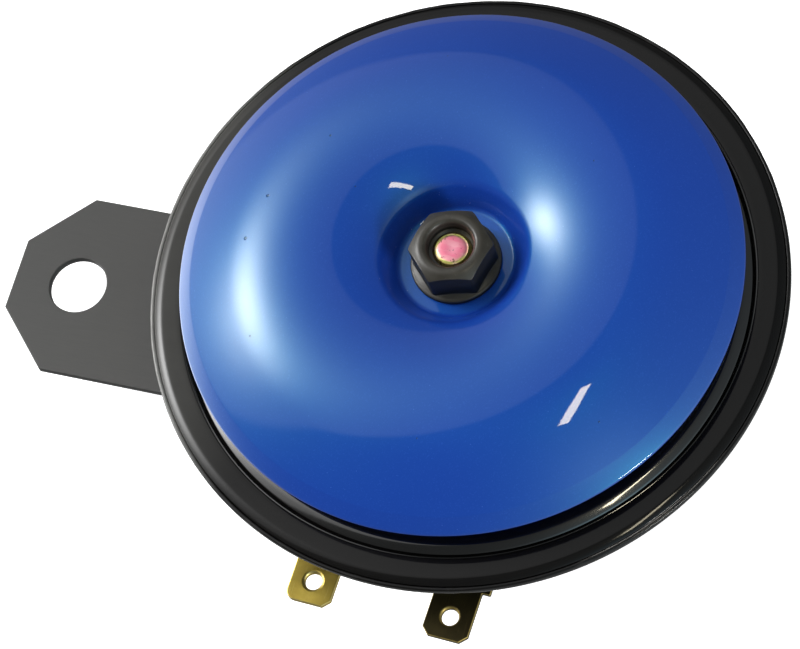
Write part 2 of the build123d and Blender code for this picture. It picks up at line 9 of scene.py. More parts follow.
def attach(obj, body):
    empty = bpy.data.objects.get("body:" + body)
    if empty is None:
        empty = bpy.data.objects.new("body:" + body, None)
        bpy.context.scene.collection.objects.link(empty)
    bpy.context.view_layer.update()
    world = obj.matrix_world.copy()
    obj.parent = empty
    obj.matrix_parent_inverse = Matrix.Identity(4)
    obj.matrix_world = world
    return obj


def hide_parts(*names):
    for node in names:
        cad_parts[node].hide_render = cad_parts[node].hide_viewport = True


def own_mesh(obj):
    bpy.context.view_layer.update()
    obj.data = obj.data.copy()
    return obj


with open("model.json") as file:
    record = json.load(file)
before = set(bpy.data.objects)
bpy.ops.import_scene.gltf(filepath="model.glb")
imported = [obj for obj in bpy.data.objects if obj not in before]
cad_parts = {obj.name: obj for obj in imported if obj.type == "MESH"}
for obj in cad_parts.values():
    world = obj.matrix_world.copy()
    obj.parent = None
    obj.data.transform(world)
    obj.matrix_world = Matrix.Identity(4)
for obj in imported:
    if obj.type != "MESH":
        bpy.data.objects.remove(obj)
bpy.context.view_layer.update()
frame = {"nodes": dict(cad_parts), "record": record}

MM = 0.001
AX, ZO = 63.6, 28.35          # the horn's axis, and the clamp ring's flat top, in the row frame (mm)
rad = math.radians
nodes = frame["nodes"]
scene = bpy.context.scene


# ------------------------------------------------------------------ geometry helpers
def link(mesh, name):
    ob = bpy.data.objects.new(name, mesh)
    scene.collection.objects.link(ob)
    return ob


def finish_mesh(bm, name, sharp=38.0):
    bmesh.ops.recalc_face_normals(bm, faces=bm.faces)
    mesh = bpy.data.meshes.new(name)
    bm.to_mesh(mesh)
    bm.free()
    mesh.shade_smooth()
    if sharp:
        mesh.set_sharp_from_angle(angle=rad(sharp))
    return link(mesh, name)


def pen(start, heading, steps, off=0.0, fine=1.6, ds=0.6):
    """Points along lines and arcs in the (r, z) plane, or along the path offset to its right."""
    h = rad(heading)
    x = start[0] + off * math.sin(h)
    z = start[1] - off * math.cos(h)
    pts = [(x, z)]
    for s in steps:
        if s[0] == "L":
            n = max(1, int(math.ceil(s[1] / (ds * 4))))
            for i in range(n):
                x += s[1] / n * math.cos(h)
                z += s[1] / n * math.sin(h)
                pts.append((x, z))
        else:
            turn = rad(s[2])
            sg = 1 if turn > 0 else -1
            r = s[1] + off if turn > 0 else s[1] - off
            n = max(3, int(math.ceil(abs(s[2]) / fine)), int(math.ceil(abs(turn) * s[1] / ds)))
            n = min(n, 60)
            cx = x - sg * r * math.sin(h)
            cz = z + sg * r * math.cos(h)
            for i in range(1, n + 1):
                a = h + turn * i / n
                x, z = cx + sg * r * math.sin(a), cz - sg * r * math.cos(a)
                pts.append((x, z))
            h += turn
    return pts


def rounded(corners, n=5):
    """A closed outline from (x, y, radius) corners."""
    out = []
    m = len(corners)
    for i in range(m):
        p, a, b = corners[i], corners[i - 1], corners[(i + 1) % m]
        r = p[2] if len(p) > 2 else 0.0
        if r <= 0:
            out.append((p[0], p[1]))
            continue
        d0 = Vector((a[0] - p[0], a[1] - p[1]))
        d1 = Vector((b[0] - p[0], b[1] - p[1]))
        l0, l1 = d0.length, d1.length
        d0.normalize()
        d1.normalize()
        ang = math.acos(max(-1, min(1, d0.dot(d1))))
        if ang > math.pi - 1e-3:
            out.append((p[0], p[1]))
            continue
        cut = min(r / math.tan(ang / 2), 0.49 * l0, 0.49 * l1)
        rr = cut * math.tan(ang / 2)
        c = Vector((p[0], p[1])) + (d0 + d1).normalized() * (rr / math.sin(ang / 2))
        s = Vector((p[0], p[1])) + d0 * cut - c
        e = Vector((p[0], p[1])) + d1 * cut - c
        sweep = math.atan2(s.x * e.y - s.y * e.x, s.dot(e))
        for k in range(n + 1):
            t = sweep * k / n
            out.append((c.x + s.x * math.cos(t) - s.y * math.sin(t), c.y + s.x * math.sin(t) + s.y * math.cos(t)))
    return out


def turn_mesh(name, prof, seg=256, cx=AX, cy=0.0, cz=ZO, radial=None, sharp=38.0, build=True):
    """Revolve a closed (r, z) outline, in mm, about a vertical axis. radial(r, z, angle) may reshape a point."""
    bm = bmesh.new()
    rings = []
    for k in range(seg):
        a = 2 * math.pi * k / seg
        ca, sa = math.cos(a), math.sin(a)
        ring = []
        for i, (r, z) in enumerate(prof):
            if r < 1e-6:
                ring.append(None)
                continue
            rr, zz = radial(i, r, z, a) if radial else (r, z)
            ring.append(bm.verts.new(((cx + rr * ca) * MM, (cy + rr * sa) * MM, (cz + zz) * MM)))
        rings.append(ring)
    poles = {}
    for i, (r, z) in enumerate(prof):
        if r < 1e-6:
            poles[i] = bm.verts.new((cx * MM, cy * MM, (cz + z) * MM))
    n = len(prof)
    for k in range(seg):
        a, b = rings[k], rings[(k + 1) % seg]
        for i in range(n):
            j = (i + 1) % n
            p = [a[i] or poles.get(i), b[i] or poles.get(i), b[j] or poles.get(j), a[j] or poles.get(j)]
            q = []
            for v in p:
                if v is not None and v not in q:
                    q.append(v)
            if len(q) >= 3:
                bm.faces.new(q)
    if not build:
        return bm
    return finish_mesh(bm, name, sharp)


def offset_loop(loop, d):
    """A closed loop of 2D points moved to its left by d."""
    out = []
    m = len(loop)
    for i in range(m):
        a, p, b = loop[i - 1], loop[i], loop[(i + 1) % m]
        e0 = Vector((p[0] - a[0], p[1] - a[1])).normalized()
        e1 = Vector((b[0] - p[0], b[1] - p[1])).normalized()
        n0 = Vector((-e0.y, e0.x))
        n1 = Vector((-e1.y, e1.x))
        s = n0 + n1
        s = s / max(0.3, s.length_squared / 2)
        out.append((p[0] + s.x * d, p[1] + s.y * d))
    return out


def area2(loop):
    return sum(loop[i - 1][0] * loop[i][1] - loop[i][0] * loop[i - 1][1] for i in range(len(loop)))


def plate_mesh(name, outer, holes, z0, z1, bev=0.15, hole_top=None, hole_bottom=None, cz=ZO, xf=None, dome=None, sharp=50.0, nb=4):
    """A flat sheet with rounded edges. Loops are in mm; hole_top is the (width, depth) of a broken hole mouth."""
    if area2(outer) < 0:
        outer = outer[::-1]
    holes = [h if area2(h) < 0 else h[::-1] for h in holes]
    bm = bmesh.new()

    def edge_profile(w0, d0, w1, d1):
        prof = [(w0 + 0.06, z0)]
        for k in range(nb + 1):
            t = math.pi / 2 * k / nb
            prof.append((w0 * (1 - math.sin(t)), z0 + d0 * (1 - math.cos(t))))
        for k in range(nb + 1):
            t = math.pi / 2 * k / nb
            prof.append((w1 * (1 - math.cos(t)), z1 - d1 * (1 - math.sin(t))))
        prof.append((w1 + 0.06, z1))
        return prof

    caps0, caps1 = [], []
    for li, loop in enumerate([outer] + holes):
        if li and (hole_top or hole_bottom):
            hb = hole_bottom or (bev, bev)
            ht = hole_top or (bev, bev)
            prof = edge_profile(hb[0], hb[1], ht[0], ht[1])
        else:
            prof = edge_profile(bev, bev, bev, bev)
        prev = None
        for (d, z) in prof:
            pts = offset_loop(loop, d)
            ring = []
            for (x, y) in pts:
                q = (x, y, z)
                if dome:
                    q = dome(*q)
                if xf:
                    q = xf(*q)
                ring.append(bm.verts.new((q[0] * MM, q[1] * MM, (q[2] + cz) * MM)))
            if prev:
                m = len(ring)
                for i in range(m):
                    bm.faces.new((prev[i], prev[(i + 1) % m], ring[(i + 1) % m], ring[i]))
            else:
                caps0.append((pts, ring))
            prev = ring
        caps1.append((pts, ring))
    for caps in (caps0, caps1):
        flat = [v for _, ring in caps for v in ring]
        tris = tessellate_polygon([[Vector((x, y, 0)) for x, y in pts] for pts, _ in caps])
        for t in tris:
            try:
                bm.faces.new([flat[i] for i in t])
            except ValueError:
                pass
    return finish_mesh(bm, name, sharp)


def circle(r, n=96, cx=0.0, cy=0.0):
    return [(cx + r * math.cos(2 * math.pi * k / n), cy + r * math.sin(2 * math.pi * k / n)) for k in range(n)]


def hex_r(apothem, rot, a, p=46.0):
    """Radius of a hexagon with slightly rounded corners."""
    s = 0.0
    for k in range(3):
        s += abs(math.cos(a - rad(rot + 30 + 60 * k))) ** p
    return apothem * s ** (-1 / p)


def thread(z, a, pitch, r_out, r_in, hand=1.0):
    """Radius of a rounded 60 degree thread at height z and angle a."""
    t = (z - hand * pitch * a / (2 * math.pi)) / pitch
    t -= math.floor(t)
    tri = abs(2 * t - 1)
    tri = min(1.0, max(0.0, (tri - 0.08) / 0.80))
    tri = tri * tri * (3 - 2 * tri) * 0.35 + tri * 0.65
    return r_in + (r_out - r_in) * tri


def place(ob, node, body, mat):
    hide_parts(node)
    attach(ob, body)
    ob.data.materials.clear()
    ob.data.materials.append(mat)
    return ob


# ------------------------------------------------------------------ material helpers
class Mat:
    """A small wrapper for one node material."""

    def __init__(self, name):
        self.m = bpy.data.materials.new(name)
        self.m.use_nodes = True
        self.t = self.m.node_tree
        self.bsdf = self.t.nodes["Principled BSDF"]
        self.out = self.t.nodes["Material Output"]
        self.co = self.t.nodes.new("ShaderNodeTexCoord").outputs["Object"]

    def node(self, kind, **kw):
        n = self.t.nodes.new(kind)
        for k, v in kw.items():
            setattr(n, k, v)
        return n

    def link(self, a, b):
        self.t.links.new(a, b)
        return b

    def set(self, **kw):
        for k, v in kw.items():
            self.bsdf.inputs[k.replace("_", " ")].default_value = v

    def feed(self, sock, val):
        if hasattr(val, "is_output") or isinstance(val, bpy.types.NodeSocket):
            self.link(val, sock)
        else:
            sock.default_value = val

    def noise(self, scale, detail=4.0, rough=0.55, vec=None, dist=0.0):
        n = self.node("ShaderNodeTexNoise")
        self.link(vec or self.co, n.inputs["Vector"])
        n.inputs["Scale"].default_value = scale
        n.inputs["Detail"].default_value = detail
        n.inputs["Roughness"].default_value = rough
        n.inputs["Distortion"].default_value = dist
        return n.outputs["Fac"]

    def voronoi(self, scale, feature="F1", vec=None, rnd=1.0):
        n = self.node("ShaderNodeTexVoronoi", feature=feature)
        self.link(vec or self.co, n.inputs["Vector"])
        n.inputs["Scale"].default_value = scale
        n.inputs["Randomness"].default_value = rnd
        return n

    def ramp(self, fac, stops, mode="LINEAR"):
        n = self.node("ShaderNodeValToRGB")
        n.color_ramp.interpolation = mode
        el = n.color_ramp.elements
        while len(el) < len(stops):
            el.new(0.5)
        for e, (p, c) in zip(el, stops):
            e.position = p
            e.color = (c[0], c[1], c[2], 1) if isinstance(c, (tuple, list)) else (c, c, c, 1)
        self.link(fac, n.inputs["Fac"])
        return n.outputs["Color"]

    def remap(self, val, a, b, c, d, smooth=False):
        n = self.node("ShaderNodeMapRange")
        if smooth:
            n.interpolation_type = "SMOOTHSTEP"
        self.feed(n.inputs["Value"], val)
        n.inputs["From Min"].default_value = a
        n.inputs["From Max"].default_value = b
        n.inputs["To Min"].default_value = c
        n.inputs["To Max"].default_value = d
        return n.outputs["Result"]

    def math(self, op, a, b=0.0, c=0.0):
        n = self.node("ShaderNodeMath", operation=op)
        self.feed(n.inputs[0], a)
        self.feed(n.inputs[1], b)
        if op in ("MULTIPLY_ADD", "SMOOTH_MIN", "SMOOTH_MAX"):
            self.feed(n.inputs[2], c)
        return n.outputs[0]

    def mix(self, fac, a, b, blend="MIX"):
        n = self.node("ShaderNodeMix", data_type="RGBA", blend_type=blend)
        self.feed(n.inputs[0], fac)
        for sock, val in ((n.inputs[6], a), (n.inputs[7], b)):
            if isinstance(val, (tuple, list)):
                sock.default_value = (val[0], val[1], val[2], 1)
            else:
                self.feed(sock, val)
        return n.outputs[2]

    def arris(self, lo=0.985, hi=0.86):
        """1 on the rounded edges of a flat plate, 0 on its faces and on its cut sides."""
        sep = self.node("ShaderNodeSeparateXYZ")
        self.link(self.node("ShaderNodeTexCoord").outputs["Normal"], sep.inputs[0])
        z = self.math("ABSOLUTE", sep.outputs[2])
        return self.math("MULTIPLY", self.remap(z, lo, hi, 0.0, 1.0), self.remap(z, 0.08, 0.35, 0.0, 1.0))

    def cut_side(self):
        """1 on the cut sides of a flat plate."""
        sep = self.node("ShaderNodeSeparateXYZ")
        self.link(self.node("ShaderNodeTexCoord").outputs["Normal"], sep.inputs[0])
        return self.remap(self.math("ABSOLUTE", sep.outputs[2]), 0.2, 0.5, 1.0, 0.0)

    def scaled(self, v):
        n = self.node("ShaderNodeVectorMath", operation="MULTIPLY")
        self.link(self.co, n.inputs[0])
        n.inputs[1].default_value = v
        return n.outputs[0]

    def rotated(self, rz, v=(1, 1, 1)):
        n = self.node("ShaderNodeMapping")
        self.link(self.co, n.inputs["Vector"])
        n.inputs["Rotation"].default_value = (0, 0, rz)
        n.inputs["Scale"].default_value = v
        return n.outputs[0]

    def polar(self):
        """(angle / 2 pi, radius in m, height in m) about the horn's axis."""
        sub = self.node("ShaderNodeVectorMath", operation="SUBTRACT")
        self.link(self.co, sub.inputs[0])
        sub.inputs[1].default_value = (AX * MM, 0, ZO * MM)
        sep = self.node("ShaderNodeSeparateXYZ")
        self.link(sub.outputs[0], sep.inputs[0])
        x, y, z = sep.outputs
        ang = self.math("DIVIDE", self.math("ARCTAN2", y, x), 2 * math.pi)
        r = self.math("SQRT", self.math("ADD", self.math("MULTIPLY", x, x), self.math("MULTIPLY", y, y)))
        return ang, r, z

    def combine(self, x, y, z):
        n = self.node("ShaderNodeCombineXYZ")
        self.feed(n.inputs[0], x)
        self.feed(n.inputs[1], y)
        self.feed(n.inputs[2], z)
        return n.outputs[0]

    def bump(self, height, dist, strength=1.0, normal=None):
        n = self.node("ShaderNodeBump")
        n.inputs["Strength"].default_value = strength
        n.inputs["Distance"].default_value = dist
        self.link(height, n.inputs["Height"])
        if normal is not None:
            self.link(normal, n.inputs["Normal"])
        return n.outputs["Normal"]

    def color(self, c):
        self.feed(self.bsdf.inputs["Base Color"], c if not isinstance(c, tuple) else (c[0], c[1], c[2], 1))

    def rough(self, r):
        self.feed(self.bsdf.inputs["Roughness"], r)

    def normal(self, n):
        self.link(n, self.bsdf.inputs["Normal"])


# ------------------------------------------------------------------ materials
def near_any(m, places, size, soft=0.5):
    """1 close to any of the (x, y) places, in mm about the horn's axis, and 0 away from them."""
    sep = m.node("ShaderNodeSeparateXYZ")
    m.link(m.co, sep.inputs[0])
    flat = m.combine(sep.outputs[0], sep.outputs[1], 0.0)
    best = None
    for x, y, k in places:
        d = m.node("ShaderNodeVectorMath", operation="DISTANCE")
        m.link(flat, d.inputs[0])
        d.inputs[1].default_value = ((AX + x) * MM, y * MM, 0)
        f = m.remap(d.outputs["Value"], size * k * MM * soft, size * k * MM, 1.0, 0.0, True)
        best = f if best is None else m.math("MAXIMUM", best, f)
    return best


PITS = [(-25.7, 2.3, 1.0), (-27.0, -4.0, 1.1), (-19.8, 12.1, 0.7), (-14.5, 5.7, 0.5), (-22.4, -17.1, 0.55), (15.4, 14.9, 0.5), (24.5, -19.0, 0.5), (3.0, -26.5, 0.45), (-8.0, 27.0, 0.45)]


def blue_paint():
    """Metallic blue under a clear gloss coat, with fine flake, a little orange peel and a few small pits."""
    m = Mat("blue_paint")
    ang, r, z = m.polar()
    big = m.noise(24, 3, 0.5)
    flake = m.voronoi(7000)
    fl = m.remap(flake.outputs["Color"], 0, 1, 0, 1)
    tone = m.mix(m.remap(big, 0.35, 0.7, 0.0, 1.0), tuple(c * 0.96 for c in BLUE), tuple(c * 1.05 for c in BLUE))
    tone = m.mix(m.remap(fl, 0.70, 1.0, 0.0, 0.16), tone, (0.05, 0.17, 0.75))
    spark = m.voronoi(2600)
    lit = m.math("MULTIPLY", m.remap(spark.outputs["Color"], 0.90, 0.93, 0.0, 1.0), m.remap(spark.outputs["Distance"], 0.0, 0.26, 1.0, 0.0, True))
    tone = m.mix(m.math("MULTIPLY", lit, 0.45), tone, (0.12, 0.30, 0.85))
    pits = near_any(m, PITS, 0.24)
    tone = m.mix(m.math("MULTIPLY", pits, 0.75), tone, (0.004, 0.010, 0.045))
    # fine marks round the nut, where a spanner has turned
    mark = m.noise(260, 3, 0.6, vec=m.combine(m.math("MULTIPLY", ang, 0.22), m.math("MULTIPLY", r, 9.0), 0.0))
    close = m.math("MULTIPLY", m.remap(r, 0.0062, 0.0072, 0.0, 1.0), m.remap(r, 0.0085, 0.0115, 1.0, 0.0))
    marks = m.math("MULTIPLY", m.remap(mark, 0.70, 0.73, 0.0, 1.0), close)
    tone = m.mix(m.math("MULTIPLY", marks, 0.5), tone, (0.35, 0.45, 0.70))
    m.color(tone)
    m.set(IOR=1.56, Specular_Tint=(0.07, 0.95, 1.0, 1.0), Coat_Weight=1.0, Coat_Roughness=0.03, Coat_IOR=1.5)
    m.rough(m.remap(m.noise(90, 4, 0.6), 0.3, 0.7, BLUE_ROUGH - 0.02, BLUE_ROUGH + 0.03))
    peel = m.noise(430, 2, 0.4)
    n1 = m.bump(peel, 0.000008, 0.5)
    dust = m.voronoi(240)
    pick = m.remap(dust.outputs["Color"], 0.93, 0.94, 0.0, 1.0)
    dot = m.remap(dust.outputs["Distance"], 0.0, 0.030, 1.0, 0.0, True)
    n2 = m.bump(m.math("MULTIPLY", pick, dot), 0.00003, 0.6, n1)
    n3 = m.bump(m.math("SUBTRACT", 1.0, pits), 0.00012, 1.0, n2)
    m.normal(n3)
    m.link(n3, m.bsdf.inputs["Coat Normal"])
    return m.m


BLUE, BLUE_ROUGH = (0.008, 0.045, 0.365), 0.38


def black_paint(name="black_paint", base=0.0035, rough=(0.40, 0.48), coat=0.62, coat_ior=1.5, spec=0.06, coat_rough=0.08):
    """Black enamel: a soft sheen with a thinner gloss over it, and a scuffed edge to the housing's lip. Light is
    painted in too: a paler painted sheen on the ring and lip on the main light's side, and a painted highlight along
    part of the lip's crest.
    """
    m = Mat(name)
    ang, r, z = m.polar()
    n = m.noise(60, 5, 0.6)
    fine = m.noise(1100, 4, 0.6)
    col = m.mix(m.remap(n, 0.3, 0.7, 0, 1), (base * 0.9, base * 0.80, base * 0.78), (base * 1.25, base * 1.10, base * 1.02))
    # a painted sheen and highlight: on the side the main light comes from, opposite the terminals' side, the ring's
    # flat is painted paler and the lip much paler
    painted_sheen = m.remap(m.math("COSINE", m.math("SUBTRACT", m.math("MULTIPLY", ang, 2 * math.pi), rad(186))), 0.62, 0.96, 0.0, 1.0, True)
    painted_sheen = m.math("MULTIPLY", painted_sheen, m.remap(m.noise(120, 4, 0.6), 0.25, 0.6, 0.75, 1.0))
    painted_sheen = m.math("MULTIPLY", painted_sheen, m.remap(r, 0.0378, 0.0388, 0.0, 1.0))
    col = m.mix(m.math("MULTIPLY", painted_sheen, m.remap(z, -0.0032, -0.0012, 0.0, 1.0)), col, m.mix(m.remap(r, 0.0419, 0.0421, 0.0, 1.0), (0.050, 0.049, 0.045), (0.24, 0.235, 0.225)))
    # bare, scuffed places on the cut edge of the lip
    edge = m.math("MULTIPLY", m.remap(r, 0.04206, 0.04222, 0.0, 1.0), m.remap(z, -0.0014, -0.0008, 0.0, 1.0))
    scuff = m.noise(900, 5, 0.7, vec=m.combine(m.math("MULTIPLY", ang, 0.10), r, z))
    rub = m.math("MULTIPLY", edge, m.remap(scuff, 0.52, 0.74, 0.0, 1.0))
    col = m.mix(m.math("MULTIPLY", rub, 0.3), col, (0.06, 0.058, 0.055))
    # a painted highlight: a pale line along part of the lip's crest, where a lamp glints
    wear_and_glint = m.remap(m.math("COSINE", m.math("SUBTRACT", m.math("MULTIPLY", ang, 2 * math.pi), rad(-38))), 0.955, 0.99, 0.0, 1.0, True)
    wear_and_glint = m.math("MULTIPLY", wear_and_glint, m.remap(m.noise(500, 3, 0.6), 0.30, 0.50, 0.35, 1.0))
    crest = m.math("MULTIPLY", m.remap(r, 0.04210, 0.04215, 0.0, 1.0), m.math("MULTIPLY", m.remap(r, 0.04224, 0.04230, 1.0, 0.0), m.remap(z, -0.0006, -0.0005, 0.0, 1.0)))
    col = m.mix(m.math("MULTIPLY", wear_and_glint, crest), col, (0.46, 0.44, 0.41))
    m.color(col)
    ro = m.remap(m.noise(180, 5, 0.65), 0.3, 0.7, rough[0], rough[1])
    m.rough(m.mix(edge, ro, (0.55, 0.55, 0.55)))
    m.set(Specular_IOR_Level=spec, Coat_Weight=coat, Coat_Roughness=coat_rough, Coat_IOR=coat_ior)
    peel = m.noise(700, 3, 0.5)
    n1 = m.bump(peel, 0.000010, 0.5)
    n2 = m.bump(m.math("MULTIPLY", edge, scuff), 0.00002, 0.6, n1)
    m.normal(m.bump(fine, 0.000004, 0.5, n2))
    m.link(n2, m.bsdf.inputs["Coat Normal"])
    return m.m


def satin_black():
    """Satin coat on the bracket, with faint handling marks, and its cut sides painted darker as shade."""
    m = Mat("satin_black")
    n = m.noise(45, 6, 0.62)
    fine = m.noise(1500, 4, 0.6)
    scr = m.noise(55, 6, 0.7, vec=m.rotated(0.35, (1, 26, 26)))
    scr2 = m.noise(40, 6, 0.7, vec=m.rotated(-1.05, (1, 30, 30)))
    col = m.mix(m.remap(n, 0.3, 0.72, 0, 1), (0.0440, 0.0425, 0.0400), (0.0565, 0.0545, 0.0510))
    col = m.mix(m.remap(scr, 0.68, 0.80, 0, 0.25), col, (0.12, 0.117, 0.112))
    col = m.mix(m.remap(scr2, 0.72, 0.82, 0, 0.22), col, (0.11, 0.108, 0.104))
    drawn = m.noise(260, 4, 0.65, vec=m.rotated(0.0, (1, 14, 14)))
    col = m.mix(m.remap(drawn, 0.35, 0.70, 0, 0.45), col, (0.040, 0.039, 0.037))
    col = m.mix(m.math("MULTIPLY", m.arris(), 0.35), col, (0.16, 0.155, 0.148))
    # painted shade: the cut sides are painted much darker than the faces
    col = m.mix(m.cut_side(), col, (0.016, 0.0155, 0.015))
    m.color(col)
    m.rough(m.remap(n, 0.3, 0.7, 0.44, 0.52))
    m.set(Specular_IOR_Level=0.6)
    m.normal(m.bump(fine, 0.000008, 0.6))
    return m.m


def black_oxide():
    """Oiled black oxide, rubbed a little lighter along edges by its own grain, with its upright sides painted much
    darker as shade.
    """
    m = Mat("black_oxide")
    n = m.noise(420, 5, 0.6)
    spots = m.noise(1600, 5, 0.7)
    col = m.mix(m.remap(n, 0.3, 0.7, 0, 1), (0.029, 0.0262, 0.0205), (0.047, 0.0425, 0.034))
    col = m.mix(m.remap(spots, 0.60, 0.76, 0.0, 0.55), col, (0.12, 0.112, 0.098))
    # painted shade: the upright sides are painted much darker than the top
    side = m.cut_side()
    m.color(m.mix(side, col, (0.006, 0.0055, 0.005)))
    m.set(Metallic=0.06, Specular_IOR_Level=0.50)
    m.rough(m.mix(side, m.remap(m.noise(900, 5, 0.6), 0.3, 0.7, 0.29, 0.42), (0.6, 0.6, 0.6)))
    m.normal(m.bump(m.noise(2600, 4, 0.6), 0.000010, 0.5))
    return m.m


def yellow_zinc():
    """Passivated zinc: pink in the middle, green and yellow at the chamfer, with dark specks. The hue rings sit off
    centre, and pale pink streaks are painted across the end as a highlight.
    """
    m = Mat("yellow_zinc")
    ang, r, z = m.polar()
    n = m.noise(300, 3, 0.5)
    rr = m.math("ADD", m.math("MULTIPLY", r, 1000.0 / 2.95), m.remap(n, 0.3, 0.7, -0.12, 0.12))
    # the hue rings sit off centre: the green and yellow reach further in on the bracket's side
    side = m.remap(m.math("COSINE", m.math("SUBTRACT", m.math("MULTIPLY", ang, 2 * math.pi), 3.4)), -1.0, 1.0, -0.09, 0.09)
    rr = m.math("ADD", rr, side)
    hue = m.ramp(rr, [(0.0, (0.95, 0.36, 0.46)), (0.30, (0.93, 0.24, 0.36)), (0.54, (0.94, 0.30, 0.38)), (0.62, (0.90, 0.56, 0.36)), (0.68, (0.44, 0.48, 0.12)), (0.80, (0.40, 0.30, 0.10)), (1.0, (0.70, 0.56, 0.28))])
    # a painted highlight: pale pink streaks laid across the stud's end
    pale = m.noise(420, 3, 0.5, vec=m.rotated(0.9, (1, 3.5, 1)))
    hue = m.mix(m.remap(pale, 0.52, 0.66, 0.0, 0.35), hue, (0.98, 0.58, 0.60))
    dirt = m.noise(1300, 5, 0.7)
    hue = m.mix(m.remap(dirt, 0.58, 0.66, 0.0, 0.9), hue, (0.08, 0.035, 0.02))
    m.color(hue)
    m.set(Metallic=0.9)
    m.rough(m.remap(m.noise(1400, 4, 0.6), 0.3, 0.7, 0.28, 0.42))
    m.normal(m.bump(m.noise(1500, 3, 0.5), 0.00003, 0.6))
    return m.m


def zinc_plate():
    m = Mat("zinc_plate")
    n = m.noise(500, 4, 0.6)
    m.color(m.mix(m.remap(n, 0.3, 0.7, 0, 1), (0.50, 0.51, 0.52), (0.66, 0.66, 0.64)))
    m.set(Metallic=1.0)
    m.rough(m.remap(m.noise(700, 5, 0.6), 0.3, 0.7, 0.26, 0.42))
    m.normal(m.bump(m.noise(1800, 4, 0.5), 0.00001, 0.5))
    return m.m


def brass(name, lo, hi, wear_and_glint, rough=(0.34, 0.46), grain=1.0, metal=1.0, rub=None):
    """Rolled brass strip: grain along the blade, tarnish in patches, brighter where a plug has rubbed."""
    m = Mat(name)
    n = m.noise(170, 5, 0.62)
    streak = m.noise(300, 4, 0.6, vec=m.rotated(0.044, (12, 1, 1)))
    fine = m.noise(1500, 5, 0.65)
    col = m.mix(m.remap(n, 0.32, 0.70, 0, 1), lo, hi)
    col = m.mix(m.remap(streak, 0.58, 0.75, 0, 0.45), col, wear_and_glint)
    col = m.mix(m.remap(fine, 0.60, 0.74, 0, 0.35), col, tuple(c * 0.45 for c in lo))
    if rub:
        worn_edge = m.math("MULTIPLY", m.arris(), m.remap(m.noise(500, 4, 0.6), 0.35, 0.55, 0.35, 1.0))
        col = m.mix(worn_edge, col, rub)
    m.color(col)
    m.set(Metallic=metal)
    m.rough(m.remap(n, 0.3, 0.7, rough[0], rough[1]))
    m.normal(m.bump(streak, 0.000012, 0.5 * grain, m.bump(fine, 0.00001, 0.4)))
    return m.m


def plain(name, lo, hi, rough, metallic=0.0, scale=400.0, depth=0.00001):
    m = Mat(name)
    n = m.noise(scale, 5, 0.6)
    m.color(m.mix(m.remap(n, 0.3, 0.7, 0, 1), lo, hi))
    m.set(Metallic=metallic)
    m.rough(m.remap(n, 0.3, 0.7, rough[0], rough[1]))
    m.normal(m.bump(m.noise(scale * 3, 4, 0.6), depth, 0.6))
    return m.m


def winding_mat():
    m = Mat("enamelled_wire")
    ang, r, z = m.polar()
    wave = m.math("SINE", m.math("MULTIPLY", m.math("ADD", z, r), 2 * math.pi / 0.00045))
    n = m.noise(300, 4, 0.6)
    m.color(m.mix(m.remap(n, 0.3, 0.7, 0, 1), (0.42, 0.13, 0.045), (0.58, 0.22, 0.08)))
    m.set(Metallic=0.9)
    m.rough(m.remap(n, 0.3, 0.7, 0.25, 0.36))
    m.normal(m.bump(wave, 0.00012, 0.8))
    return m.m


M = {
    "blue_paint": blue_paint(),
    "black_paint": black_paint(),
    "satin_black": satin_black(),
    "black_oxide": black_oxide(),
    "yellow_zinc": yellow_zinc(),
    "zinc_plate": zinc_plate(),
    "brass_blade": brass("brass_blade", (0.42, 0.31, 0.060), (0.62, 0.47, 0.10), (0.76, 0.62, 0.22), rub=(0.80, 0.68, 0.30)),
    "brass_rivet": brass("brass_rivet", (0.46, 0.35, 0.13), (0.60, 0.48, 0.20), (0.74, 0.64, 0.34)),
    "fibre": plain("fibre", (0.30, 0.22, 0.14), (0.42, 0.33, 0.22), (0.7, 0.85), 0, 700, 0.00004),
    "bobbin_nylon": plain("bobbin_nylon", (0.62, 0.60, 0.52), (0.72, 0.70, 0.62), (0.38, 0.5)),
    "enamelled_wire": winding_mat(),
    "phenolic": plain("phenolic", (0.10, 0.045, 0.022), (0.17, 0.08, 0.04), (0.36, 0.5), 0, 500),
    "bronze": plain("bronze", (0.55, 0.34, 0.16), (0.66, 0.44, 0.22), (0.24, 0.36), 1.0),
    "contact_metal": plain("contact_metal", (0.66, 0.66, 0.66), (0.78, 0.78, 0.77), (0.18, 0.3), 1.0),
}
# painted shade: the right terminal's brass is a much darker copy, standing in for the dark its face reflects
DARKENED_BRASS = brass("brass_painted_dark", (0.038, 0.030, 0.012), (0.068, 0.053, 0.018), (0.13, 0.10, 0.035), (0.36, 0.5), metal=0.75, rub=(0.52, 0.38, 0.11))
GLOSS = black_paint("black_gloss", base=0.002, rough=(0.22, 0.28), coat=1.0, coat_ior=1.9, spec=0.3, coat_rough=0.07)
slots = {s["node"]: s["material_slot"] for s in frame["record"]["subparts"]}
bodies = {n: b for b, ns in frame["record"]["behaviour"]["bodies"].items() for n in ns}
for name, ob in nodes.items():
    ob.data.materials.clear()
    ob.data.materials.append(M[slots[name]])


def put(ob, node, mat=None):
    return place(ob, node, bodies[node], mat or M[slots[node]])


